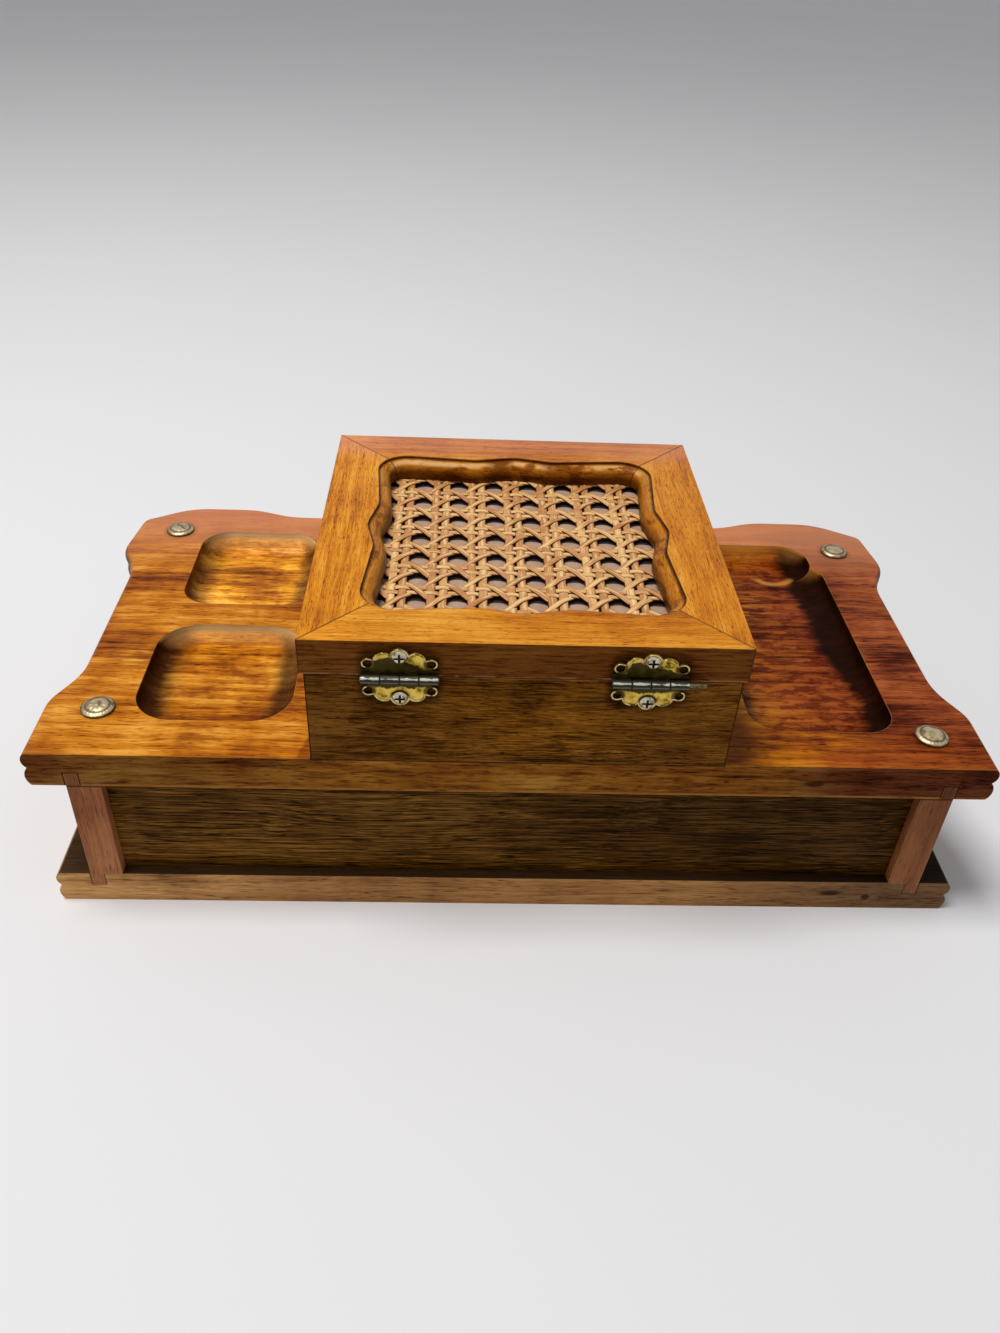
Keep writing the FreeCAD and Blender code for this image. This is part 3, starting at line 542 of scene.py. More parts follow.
def board_edge_stain_and_light(g, colour, ragged, in_tray):
    """Darker edges, most at the ends, partly with painted shade on the upright faces, with a painted
    highlight on the lower arris and a knot at the back.
    """
    # Upright faces darker: partly the wood's own colour, partly painted shade
    side = g.times(g.fit(g.up, 0.85, 0.35), g.rest(in_tray))
    colour = g.stain_and_shade(side, colour, (0.47, 0.50, 0.50))
    streaky = g.fit(g.plus(g.streak, g.around(0.8, ragged)), 0.5, 0.7)
    colour = g.stain_and_shade(g.times(side, streaky), colour, (0.62, 0.56, 0.55))
    colour = g.stain_and_shade(g.times(side, g.fit(g.away(g.x), 50.0, 120.0, 0.0, 0.7)), colour, (0.62, 0.58, 0.66))
    back = at_back(g)
    # Painted highlight along the lower arris at the back
    low_arris_highlight = g.fit(g.z, BOARD_LOW.z + 1.1, BOARD_LOW.z + 0.6)
    low_arris_highlight = g.times(back, low_arris_highlight, g.fit(ragged, 0.3, 0.55), 0.7)
    colour = g.mix(low_arris_highlight, colour, tint(168, 110, 42))
    knot = g.times(back, spot(g, g.x, g.z, (-93.8, 58.6), (3.6, 1.4)), 0.8)
    return g.mix(knot, colour, tint(30, 16, 8))


def top_board_lines(g):
    """Dark lines along the box and round the tongues."""
    beside_box = g.times(
        g.fit(g.away(g.x), BOX_HALF_WIDTH + 0.4, BOX_HALF_WIDTH + 0.2),
        g.fit(g.z, BOARD_HIGH.z - 0.2, BOARD_HIGH.z - 0.1), g.fit(g.y, BOX_FRONT - 0.6, BOX_FRONT - 0.3))
    behind_box = g.times(
        g.fit(g.away(g.x), BOX_HALF_WIDTH + 0.3, BOX_HALF_WIDTH), at_back(g),
        g.fit(g.z, BOARD_HIGH.z - 0.7, BOARD_HIGH.z - 0.3))
    return g.most(g.times(g.most(beside_box, behind_box), 0.8), tongue_line(g, SIDE_HIGH.z, 1))


def base_board_stain_and_shade(g, colour):
    """Almost black on top with painted shade under the top board, paler at +X, darker at -X with painted
    shade, and two knots at the back.
    """
    # Painted shade under the top board: almost black on top
    colour = g.mix(g.times(g.fit(g.up, 0.5, 0.9), 0.93), colour, tint(30, 18, 11))
    knots = spots(g, g.x, g.z, (((-110.6, 7.4), (4.0, 1.5)), ((-123.3, 5.6), (1.8, 1.6))))
    knots = g.most(g.times(knots, 0.8), tongue_line(g, SIDE_LOW.z, -1))
    colour = g.mix(knots, colour, tint(36, 18, 10))
    colour = g.stain_and_shade(g.fit(g.x, 70.0, 110.0), colour, (1.34, 1.46, 1.55))
    # Painted shade: darker at -X
    return g.stain_and_shade(g.fit(g.x, -50.0, -135.0, 0.0, 0.85), colour, (0.36, 0.38, 0.5))


def side_board_stain_and_shade(g, colour):
    """Dark line below the top board, a darker tongue, redder towards the top, and darker at -X with painted
    shade.
    """
    shoulder = g.fit(g.z, BOARD_LOW.z - 0.9, BOARD_LOW.z - 0.4)
    shoulder = g.times(shoulder, g.fit(g.z, BOARD_LOW.z + 0.1, BOARD_LOW.z), 0.8)
    colour = g.mix(shoulder, colour, tint(34, 16, 8))
    tongue = g.times(g.fit(g.z, BOARD_LOW.z, BOARD_LOW.z + 0.4), g.fit(g.x, 60.0, -60.0, 0.3, 1.0))
    colour = g.stain_and_shade(tongue, colour, (0.55, 0.48, 0.36))
    red = g.fit(g.plus(g.z, g.around(30.0, g.cloud)), 30.0, 46.0, 0.0, 0.75)
    colour = g.stain_and_shade(red, colour, (0.70, 0.60, 0.58))
    # Painted shade: darker at -X
    return g.stain_and_shade(g.fit(g.x, 60.0, -60.0, 0.0, 0.9), colour, (0.7, 0.66, 0.56))


def panel_shade(g, colour):
    """Painted shade: darker towards -X and along the bottom."""
    low = g.fit(g.z, BASE_TOP + 6.0, BASE_TOP + 0.5, 0.0, 0.6)
    return g.stain_and_shade(g.most(low, g.fit(g.x, 90.0, -110.0)), colour, (0.36, 0.34, 0.36))


def hinge_shade(g):
    """Painted shade round the hinges."""
    across = g.math("POWER", g.math("DIVIDE", g.away(g.away(g.x), HINGE_SPREAD), 13.2), 4.0)
    up = g.math("POWER", g.math("DIVIDE", g.away(g.z, PIN_LEVEL), 11.8), 4.0)
    return g.fit(g.plus(across, up), 1.1, 0.4, 0.0, g.fit(g.y, 60.0, 70.0, 0.0, 0.75))


def box_stain_and_shade(g, colour):
    """Smoky at the +X end and along the bottom, darker ends, a golden patch in the middle, and painted
    shade round the hinges.
    """
    smoke = spots(g, g.x, g.z, (((44, 72), (26, 13)), ((2, 67), (42, 3.2)), ((-22, 74), (22, 5))))
    smoke = g.times(smoke, g.fit(g.plus(g.streak, g.around(0.7, g.cloud)), 0.36, 0.6), 0.8)
    colour = g.stain_and_shade(smoke, colour, (0.46, 0.44, 0.66))
    ends = g.most(g.fit(g.x, 10.0, 50.0, 0.0, 0.9), g.fit(g.x, -22.0, -52.0, 0.0, 0.5))
    colour = g.stain_and_shade(ends, colour, (0.6, 0.58, 0.78))
    colour = g.stain_and_shade(spot(g, g.x, g.z, (-8, 80), (22, 12)), colour, (1.25, 1.25, 1.0))
    # Painted shade round the hinges
    return g.stain_and_shade(hinge_shade(g), colour, (0.3, 0.28, 0.3))


def box_lines(g):
    """Dark line along the upright arrises of the back."""
    arris = g.fit(g.away(g.x), BOX_HALF_WIDTH - 0.5, BOX_HALF_WIDTH - 0.25)
    return g.times(arris, at_back(g), 0.8)


dress(wood(
    "top_board_wood", GOLD, second=MAHOGANY, share=reddening, stain_and_shade=top_board_stain_and_light, lines=top_board_lines,
    lift=tray_lift, level=0.40, streaks=(0.06, 0.8), streak_share=0.7, blotch=1.1, bands=(0.035, 0.13),
    dash=(0.25, 3.2), dash_share=0.35, hollow_shade_share=0.35, gloss=0.09), "top_board")
dress(wood(
    "base_board_wood", CHESTNUT, shift=(300, 40, 12), stain_and_shade=base_board_stain_and_shade, level=0.40, streak_share=0.8,
    blotch=0.7), "base_board")
dress(wood(
    "side_board_wood", RUSSET, grain="z", shift=(50, 9, 4), stain_and_shade=side_board_stain_and_shade, level=0.3,
    streak_share=0.5, blotch=0.5, dash_share=0.3), "left_side", "right_side")
dress(wood(
    "panel_wood", OLIVE, shift=(90, 60, 21), stain_and_shade=panel_shade, level=0.44, streaks=(0.028, 2.4),
    streak_share=2.1, blotch=0.5, ring_width=3.0, roughness=0.42, gloss=0.1), "back_panel")
box_look = dict(
    level=0.40, streaks=(0.12, 2.0), streak_share=1.5, blotch=0.9, bands=(0.04, 0.2), dash=(0.34, 3.6),
    dash_share=0.5, gloss=0.08)
dress(wood(
    "box_wood", UMBER, shift=(20, 91, 33), stain_and_shade=box_stain_and_shade, lines=box_lines, **box_look),
    "box_back", "box_front")
dress(wood("box_side_wood", UMBER, grain="y", shift=(70, 31, 3), **box_look), "box_left", "box_right")


# Lid

def to_lid_rim(g):
    """Distances to the lid's nearer side and nearer end."""
    return g.minus(LID_HALF_WIDTH, g.away(g.x)), g.minus(LID_HALF_DEPTH, g.away(g.y, LID_MIDDLE))


def lid_stain_and_light(g, colour):
    """Outer faces darkened with painted shade, a pinkish painted sheen on the front rail, and a moulding
    dark in its dips, with painted shade low down and a painted highlight along its top.
    """
    x, y, z = g.x, g.y, g.z
    rim = g.least(*to_lid_rim(g))
    # Painted shade on the outer faces, and round the hinges
    outer = g.times(g.fit(rim, 1.6, 0.6), g.fit(g.up, 0.7, 0.3))
    colour = g.stain_and_shade(outer, colour, (0.24, 0.18, 0.10))
    colour = g.stain_and_shade(g.times(outer, g.fit(g.streak, 0.5, 0.62)), colour, (0.6, 0.55, 0.5))
    colour = g.stain_and_shade(g.times(outer, hinge_shade(g)), colour, (0.3, 0.28, 0.3))
    # Painted sheen: pinkish towards the front rail
    pink_sheen = g.fit(g.plus(y, g.around(20.0, g.cloud)), -34.0, -50.0, 0.0, 0.34)
    colour = g.mix(g.times(pink_sheen, g.fit(g.up, 0.6, 0.9)), colour, tint(200, 126, 118))
    colour = g.stain_and_shade(g.fit(x, 38.0, 58.0), colour, (1.16, 1.24, 1.4))
    # Moulding: painted shade low down and a painted highlight along its top
    within = g.fit(rim, 9.0, 10.5)
    low = g.fit(g.plus(z, g.around(5.0, g.cloud)), LID_HIGH.z - 1.6, LID_HIGH.z - 5.4)
    colour = g.stain_and_shade(g.times(within, low, 0.9), colour, (0.22, 0.17, 0.16))
    olive = g.times(within, g.fit(z, LID_HIGH.z - 0.25, LID_HIGH.z - 1.2), 0.6)
    colour = g.stain_and_shade(olive, colour, (0.62, 0.58, 0.5))
    patch = g.noise(g.stretch(g.join(x, y, z), (0.11, 0.11, 0.3), (2, 5, 0)), 3.0, 0.6)
    dips = spots(g, x, y, [((place, LID_LOW.y + 14), (6, 9)) for place in (6, -14)])
    dips = g.times(within, g.most(g.fit(patch, 0.52, 0.60, 0.0, 0.8), dips))
    # Painted highlight along the top of the moulding
    moulding_highlight = g.times(within, g.fit(g.up, 0.98, 0.9), g.fit(g.up, 0.6, 0.8), g.fit(g.toward, 0.1, 0.4))
    colour = g.mix(g.times(moulding_highlight, g.fit(patch, 0.56, 0.44), 0.65), colour, tint(236, 190, 128))
    # Painted highlight along the lower arris
    low_arris_highlight = g.times(outer, g.fit(z, LID_LOW.z + 0.8, LID_LOW.z + 0.4), g.fit(patch, 0.44, 0.52), 0.7)
    colour = g.mix(low_arris_highlight, colour, tint(150, 98, 62))
    roll = g.fit(z, LID_HIGH.z - 0.3, LID_HIGH.z - 0.7)
    return g.stain_and_shade(g.times(dips, roll, 0.85), colour, (0.34, 0.24, 0.3))


def lid_lines(g):
    """Painted shade in the quirk along the opening, and a dark line where two rails meet."""
    to_side, to_end = to_lid_rim(g)
    seam = g.fit(g.away(g.minus(to_side, to_end)), 0.55, 0.25)
    within = g.fit(g.least(to_side, to_end), 9.0, 10.5)
    step = g.fit(g.z, LID_HIGH.z - 1.0, LID_HIGH.z - 0.8)
    step = g.times(step, g.fit(g.z, LID_HIGH.z - 0.3, LID_HIGH.z - 0.5))
    quirk_shade = g.times(within, g.most(step, g.hollow(1.1, 0.6, 0.95)))
    return g.most(g.times(quirk_shade, 0.85), g.times(seam, 0.6))


for rail, grain, shift in (
        ("back", "x", (10, 20, 7)), ("front", "x", (160, 75, 2)),
        ("left", "y", (35, 12, 9)), ("right", "y", (95, 44, 1))):
    dress(wood(
        f"lid_{rail}_wood", HONEY, grain=grain, shift=shift, stain_and_shade=lid_stain_and_light, lines=lid_lines,
        streaks=(0.07, 1.2), streak_share=0.7, blotch=0.75, dash=(0.36, 4.4), dash_share=0.42,
        wear_and_highlight_share=0.3, roughness=0.34, gloss=0.13), f"lid_rail_{rail}")


def backing_material():
    """Dusty cloth that shows pale in the middle of each hole, with painted shade round it under the strands.
    """
    hole_squash, hole_shift = 0.8, 0.6
    g = Graph("backing_cloth")
    place = g.place()
    x, y, _ = g.split(place)
    middle_x = CANE_SHIFT + CANE_PITCH / 2
    middle_y = (BACKING_LOW.y + BACKING_HIGH.y) / 2 + CANE_DRIFT + hole_shift
    hole_x = g.times(g.math("PINGPONG", g.minus(x, middle_x), CANE_PITCH / 2), hole_squash)
    hole_y = g.math("PINGPONG", g.minus(y, middle_y), CANE_PITCH / 2)
    threads = g.times(g.math("SINE", g.times(x, 9.0)), g.math("SINE", g.times(y, 9.0)))
    cloud = g.noise(g.stretch(place, (0.2, 0.2, 0.2)), 3.0)
    colour = g.mix(g.fit(cloud, 0.35, 0.7), tint(190, 158, 136), tint(174, 141, 119))
    colour = g.mix(g.fit(threads, 0.0, 0.9, 0.0, 0.25), colour, tint(110, 80, 60))
    # Painted shade of the strands on the cloth, round the pale middle of each hole
    dark = g.fit(g.plus(g.length(hole_x, hole_y), g.around(1.2, cloud)), 2.9, 3.6)
    dark = g.times(dark, g.fit(g.facing()[2], 0.5, 0.9))
    colour = g.mix(dark, colour, tint(36, 18, 10))
    return g.close({"Base Color": colour, "Roughness": 0.9, "Normal": g.bump(threads, 0.3, 0.08)})


dress(backing_material(), "lid_backing")


def cane_material():
    """Split cane: the strand attribute holds the place along it, across it and its own tone."""
    g = Graph("cane")
    strand = g.node("ShaderNodeAttribute", attribute_name="strand").outputs["Vector"]
    along, across, tone = g.split(strand)
    lines = g.join(g.times(along, 0.06), g.times(across, 4.0), g.times(tone, 40.0))
    fibre = g.noise(lines, 3.0, 0.65)
    patch = g.noise(g.join(g.times(along, 0.12), across, g.times(tone, 17.0)), 2.0)
    colour = g.mix(tone, tint(242, 194, 122), tint(190, 128, 62))
    colour = g.mix(g.fit(fibre, 0.42, 0.72, 0.0, 0.85), colour, tint(150, 88, 34))
    colour = g.mix(g.fit(patch, 0.46, 0.7, 0.0, 0.7), colour, tint(196, 122, 78))
    # Painted highlight along the middle of each strand
    strand_highlight = g.times(g.fit(g.away(across, 0.1), 0.5, 0.1), g.fit(patch, 0.56, 0.42))
    colour = g.mix(g.times(strand_highlight, 0.65), colour, tint(252, 216, 156))
    # Painted shade along the strands' edges
    rim = g.fit(g.math("ABSOLUTE", across), 0.66, 0.96)
    colour = g.mix(rim, colour, tint(92, 44, 14))
    # Painted shade between the strands
    colour = g.stain_and_shade(g.hollow(1.6, 0.3, 0.9), colour, (0.28, 0.2, 0.14))
    return g.close({
        "Base Color": colour, "Roughness": g.math("MULTIPLY_ADD", fibre, 0.2, 0.26),
        "Specular IOR Level": 0.5, "Specular Tint": (1.0, 0.9, 0.72, 1.0), "Normal": g.bump(fibre, 0.4, 0.06)})


STRAND_SECTION = ((-1.0, 0.1), (-0.72, 0.68), (0.0, 1.0), (0.72, 0.68), (1.0, 0.1), (0.6, 0.0), (-0.6, 0.0))


class Weave:
    """Collects ribbons in one mesh."""

    def __init__(self):
        self.vertices = []
        self.faces = []
        self.strand = []

    def ribbon(self, path, tone, half_width):
        """Crowned strip along the path, whose side stays level."""
        faces = ring_faces(len(self.vertices), len(path), len(STRAND_SECTION))
        self.faces += [tuple(reversed(face)) for face in faces]
        travelled = 0.0
        for index, point in enumerate(path):
            ahead = path[min(index + 1, len(path) - 1)] - path[max(index - 1, 0)]
            side = Vector((-ahead.y, ahead.x, 0)).normalized()
            if index:
                travelled += (point - path[index - 1]).length
            for across, rise in STRAND_SECTION:
                lift = (rise - 0.5) * STRAND_THICKNESS
                self.vertices.append(point + side * across * half_width + Vector((0, 0, lift)))
                self.strand.append((travelled, across, tone))


def cane_weave():
    """Six-way cane: pairs both ways and single strands on both diagonals, each over and under."""
    pairs, crosses, fewest_points = 5, 10, 5
    phases, pair_widths, cross_widths = (0, 6.28), (0.92, 1.06), (0.94, 1.08)
    low_x, high_x = CANE_LOW.x + CANE_MARGIN, CANE_HIGH.x - CANE_MARGIN
    low_y, high_y = CANE_LOW.y + CANE_MARGIN, CANE_HIGH.y - CANE_MARGIN
    level = (CANE_LOW.z + CANE_HIGH.z) / 2
    first_x = CANE_SHIFT
    first_y = (CANE_LOW.y + CANE_HIGH.y) / 2 + CANE_DRIFT + CANE_PITCH / 2
    wave = 2 * math.pi / CANE_PITCH
    draw = random.Random(12)
    weave = Weave()

    def pair_lift(offset, half):
        """Height of a paired strand near a crossing, up on one side and down on the other."""
        inside = abs(offset) <= 2 * half
        return PAIR_LIFT * math.sin(math.pi / 2 * offset / half) if inside else 0.0

    def steps(start, end):
        count = int((end - start) / CANE_STEP) + 1
        return [start + (end - start) * index / count for index in range(count + 1)]

    def wobble(phase, along):
        """Small unevenness of a strand."""
        return 0.1 * math.sin(phase + along * 0.11) + 0.06 * math.sin(2.3 * phase + along * 0.29)

    def nearest(value, first):
        """Offset from the nearest crossing."""
        return value - first - CANE_PITCH * round((value - first) / CANE_PITCH)

    for number in range(-pairs, pairs + 1):
        for side in (-1, 1):
            x = first_x + number * CANE_PITCH
            phase = draw.uniform(*phases)
            if low_x + PAIR_MARGIN < x + side * UPRIGHT_HALF < high_x - PAIR_MARGIN:
                path = []
                for y in steps(low_y, high_y):
                    spread = UPRIGHT_HALF + PAIR_SWING * math.cos((y - first_y) * wave)
                    lift = -side * pair_lift(nearest(y, first_y), LEVEL_HALF)
                    path.append(Vector((x + side * spread + wobble(phase, y), y, level + lift)))
                weave.ribbon(path, draw.random(), UPRIGHT_STRAND_HALF * draw.uniform(*pair_widths))
            y = first_y + number * CANE_PITCH
            phase = draw.uniform(*phases)
            if low_y + PAIR_MARGIN < y + side * LEVEL_HALF < high_y - PAIR_MARGIN:
                path = []
                for x in steps(low_x, high_x):
                    spread = LEVEL_HALF + PAIR_SWING * math.cos((x - first_x) * wave)
                    lift = side * pair_lift(nearest(x, first_x), UPRIGHT_HALF)
                    path.append(Vector((x, y + side * spread + wobble(phase, x), level + lift)))
                weave.ribbon(path, draw.random(), LEVEL_STRAND_HALF * draw.uniform(*pair_widths))

    for slope in (-1, 1):
        for number in range(-crosses, crosses + 1):
            cross_x = first_x + (number + 0.5) * CANE_PITCH
            phase = draw.uniform(*phases)
            tone = draw.random()
            path = []
            for y in steps(low_y, high_y):
                x = cross_x + slope * (y - first_y)
                bow = CROSS_BOW * math.sin((y - first_y) * wave) + wobble(phase, y)
                lift = -slope * CROSS_LIFT * math.cos((y - first_y) * wave)
                point = Vector((x + bow * math.sqrt(0.5), y - slope * bow * math.sqrt(0.5), level + lift))
                if low_x <= point.x <= high_x and low_y <= point.y <= high_y:
                    path.append(point)
            if len(path) >= fewest_points:
                weave.ribbon(path, tone, CROSS_STRAND_HALF * draw.uniform(*cross_widths))

    piece = new_piece("cane_weave", weave.vertices, weave.faces, cane_material(), "lid", ["cane_panel"])
    attribute = piece.data.attributes.new("strand", "FLOAT_VECTOR", "POINT")
    attribute.data.foreach_set("vector", [value for strand in weave.strand for value in strand])


cane_weave()


# Metal

PLATING = tint(204, 202, 180)


def metal(name, bright, dull, dark, roughness, dark_share, size, soot_and_shade=None):
    """Plated metal, darkened in its hollows and in patches; the soot function adds dirt, painted shade and
    plating by place.
    """
    g = Graph(name)
    place = g.place()
    g.x, g.y, g.z = g.split(place)
    patch = g.noise(g.stretch(place, (size, size, size)), 3.0, 0.55)
    fine = g.noise(g.stretch(place, (3.0, 3.0, 3.0)), 3.0, 0.6)
    normal, edge = g.soft_edge(0.18)
    hollow = g.hollow(1.2, 0.35, 0.9)
    colour = g.mix(g.fit(patch, 0.4, 0.65), bright, dull)
    dirt = g.most(g.times(hollow, 0.9), g.fit(patch, 0.56, 0.66, 0.0, dark_share))
    dirt = g.times(dirt, g.rest(g.times(edge, 0.8)))
    if soot_and_shade is not None:
        painted, plated = soot_and_shade(g, patch)
        colour = g.mix(plated, colour, PLATING)
        dirt = g.most(g.times(dirt, g.rest(g.times(plated, 0.5))), painted)
    colour = g.mix(dirt, colour, dark)
    rough = g.plus(g.math("MULTIPLY_ADD", fine, 0.16, roughness - 0.08), g.times(dirt, 0.25))
    return g.close({
        "Base Color": colour, "Metallic": 1.0, "Roughness": rough, "Normal": g.bump(fine, 0.12, 0.05, normal)})


def hinge_soot_and_shade(g, patch):
    """Dark patina with painted shade and painted reflections beside the knuckles, in the side holes, round
    the screws and in a curve above the screw, and plating on the knuckles, dark but for painted highlight
    lines.
    """
    from_middle = g.minus(g.math("ABSOLUTE", g.x), HINGE_SPREAD)
    across = g.math("ABSOLUTE", from_middle)
    up = g.away(g.z, PIN_LEVEL)
    swing = g.around(4.2, patch)
    # Patina with painted shade and reflections beside the knuckles, spreading up the upper leaf's middle
    upper = g.fit(g.z, PIN_LEVEL - 0.5, PIN_LEVEL + 0.5, 0.0, 2.2)
    lean = g.fit(g.times(from_middle, g.math("SIGN", g.x)), -7.0, 1.0, 0.4, 1.5)
    middle = g.times(upper, g.fit(g.plus(across, g.around(4.0, patch)), 8.0, 5.5), lean)
    beside = g.fit(g.plus(up, swing, g.times(middle, -1.0)), 3.9, 3.1)
    hole = g.length(g.away(across, LOBE_ACROSS), g.away(up, LOBE_UP))
    ends = g.times(g.fit(hole, 2.9, 1.9), 0.9)
    screw = g.length(across, g.away(up, SCREW_UP))
    round_screw = g.times(g.fit(g.plus(screw, swing), 3.2, 2.3), 0.85)
    # Painted shade in a curve above the screw
    crescent_shade = g.times(
        g.fit(screw, 3.1, 2.7), g.fit(g.z, PIN_LEVEL - SCREW_UP, PIN_LEVEL - SCREW_UP + 1.0),
        g.fit(g.z, PIN_LEVEL, PIN_LEVEL - 1.0))
    knuckle = g.fit(g.y, LEAF_FACE + 0.1, LEAF_FACE + 0.5)
    # Painted highlight lines along the knuckle, painted shade on the rest of it
    line = g.fit(g.plus(g.away(g.z, PIN_LEVEL + 1.0), g.around(0.9, patch)), 0.28, 0.06)
    second_highlight_line = g.fit(g.away(g.z, PIN_LEVEL - 0.2), 0.3, 0.1, 0.0, 0.16)
    joint = g.fit(g.least(across, g.away(across, KNUCKLE_WIDTH)), 0.4, 0.2)
    shade = g.minus(0.95, g.times(g.most(line, second_highlight_line), g.rest(joint)))
    shade = g.times(knuckle, g.most(shade, 0.0))
    flat = g.times(g.most(beside, ends, round_screw, crescent_shade), g.rest(knuckle), 0.93)
    return g.most(shade, flat), knuckle


def screw_soot(g, patch):
    """Dark cross slots."""
    across = g.away(g.math("ABSOLUTE", g.x), HINGE_SPREAD)
    up = g.away(g.away(g.z, PIN_LEVEL), SCREW_UP)
    within = g.fit(g.most(across, up), 1.6, 1.45)
    slot = g.fit(g.least(across, up), 0.42, 0.3)
    return g.times(within, slot, 0.95), 0.0


def nail_soot(g, patch):
    """Dirt inside the rim and at the foot of each nail."""
    from_nail = g.least(*(spot_distance(g, g.x, g.y, center) for center in NAIL_CENTERS))
    from_nail = g.plus(from_nail, g.around(0.8, patch))
    ring = g.fit(g.away(from_nail, NAIL_RADIUS * 0.7), 0.55, 0.2, 0.0, 0.7)
    return g.most(ring, g.fit(from_nail, NAIL_RADIUS - 0.7, NAIL_RADIUS - 0.1, 0.0, 0.8)), 0.0


brass = metal(
    "polished_brass", tint(216, 184, 84), tint(150, 120, 34), tint(22, 18, 7), 0.28, 0.75, 0.34, hinge_soot_and_shade)
bead_brass = metal("bead_brass", tint(220, 200, 140), tint(160, 132, 66), tint(30, 23, 10), 0.32, 0.95, 0.38)
nickel = metal("nickel", tint(226, 220, 208), tint(190, 184, 172), tint(60, 54, 46), 0.24, 0.3, 0.5)
pin_steel = metal("pin_steel", tint(112, 102, 72), tint(84, 74, 50), tint(26, 22, 14), 0.42, 0.6, 0.6)
screw_nickel = metal(
    "screw_nickel", tint(206, 196, 170), tint(160, 150, 124), tint(26, 20, 14), 0.3, 0.5, 0.7, screw_soot)
pewter = metal(
    "antique_silver", tint(190, 172, 136), tint(150, 130, 94), tint(58, 44, 28), 0.42, 0.5, 0.4, nail_soot)
bronze = metal("antique_brass", tint(176, 138, 74), tint(140, 104, 50), tint(46, 32, 16), 0.34, 0.6, 0.2)

dress(
    brass, "left_hinge_leaf_upper", "left_hinge_leaf_lower", "right_hinge_leaf_upper",
    "right_hinge_leaf_lower")
dress(nickel, "knob_screws")
dress(pin_steel, "left_hinge_pin", "right_hinge_pin")
dress(screw_nickel, "hinge_screws_lid", "hinge_screws_box")


def looped_strip(points, profile, closed):
    """Strip: the profile of (outward, forward) points swept along (x, z) points."""
    vertices, faces = [], []
    count, width = len(points), len(profile)
    for index in range(count):
        x, z = points[index]
        before, after = points[index - 1], points[(index + 1) % count]
        if not closed:
            before, after = points[max(index - 1, 0)], points[min(index + 1, count - 1)]
        ahead = Vector((after[0] - before[0], after[1] - before[1])).normalized()
        outward = Vector((ahead.y, -ahead.x))
        for out, forward in profile:
            vertices.append((x + outward.x * out, forward, z + outward.y * out))
    for index in range(count if closed else count - 1):
        row, next_row = index * width, (index + 1) % count * width
        for corner in range(width):
            after = (corner + 1) % width
            faces.append((row + corner, row + after, next_row + after, next_row + corner))
    if not closed:
        last = (count - 1) * width
        faces += [tuple(reversed(range(width))), tuple(range(last, last + width))]
    return vertices, faces


def circle(x, z, radius):
    count = 28
    turns = [2 * math.pi * index / count for index in range(count)]
    return [(x + radius * math.cos(turn), z + radius * math.sin(turn)) for turn in turns]


def leaf_outline(inset):
    """Points round the leaf's lobes and along its foot, seen from behind the chest."""
    points = []
    center = 3.2
    count, first_turn, sweep = 120, 1.5, 177
    for index in range(count):
        turn = math.radians(first_turn + sweep * index / (count - 1))
        ray = Vector((math.cos(turn), math.sin(turn)))
        reach = 0.0
        for x, z, radius in LEAF_CIRCLES:
            to = Vector((x, z - center))
            ahead = to.dot(ray)
            off = to.length_squared - ahead * ahead
            inside = (radius - inset) ** 2 - off
            if inside > 0:
                reach = max(reach, ahead + math.sqrt(inside))
        if reach > 0:
            points.append((ray.x * reach, center + ray.y * reach))
    return points


def hinge_rims():
    """Raised beads along the leaves' edges and round their screw holes."""
    bead = ((-0.28, 0.0), (-0.2, 0.14), (0.0, 0.2), (0.2, 0.14), (0.28, 0.0))
    ring = ((-0.05, 0.0), (0.0, 0.12), (0.16, 0.18), (0.34, 0.12), (0.42, 0.0))
    bead_inset = 0.4
    loops = (
        (leaf_outline(bead_inset), bead, False), (circle(0.0, SCREW_UP, LEAF_HOLE_RADIUS), ring, True))
    for sign, level, body in ((1, "upper", "lid"), (-1, "lower", "chest")):
        for side, hand in ((1, "right"), (-1, "left")):
            vertices, faces = [], []
            for points, profile, closed in loops:
                new_vertices, new_faces = looped_strip(points, profile, closed)
                start = len(vertices)
                vertices += [
                    (side * HINGE_SPREAD + x, LEAF_FACE + y, PIN_LEVEL + sign * z) for x, y, z in new_vertices]
                faces += [tuple(start + corner for corner in face) for face in new_faces]
            new_piece(f"{hand}_hinge_rims_{level}", vertices, faces, bead_brass, body)


hinge_rims()


def turned(profile, center, turn):
    """Vertices and faces of a profile of (radius, height) points turned round an axis."""
    around = 48
    vertices = []
    for radius, height in profile:
        for index in range(around):
            angle = 2 * math.pi * index / around
            point = Vector((radius * math.cos(angle), radius * math.sin(angle), height))
            vertices.append(center + turn @ point)
    return vertices, ring_faces(0, len(profile), around)


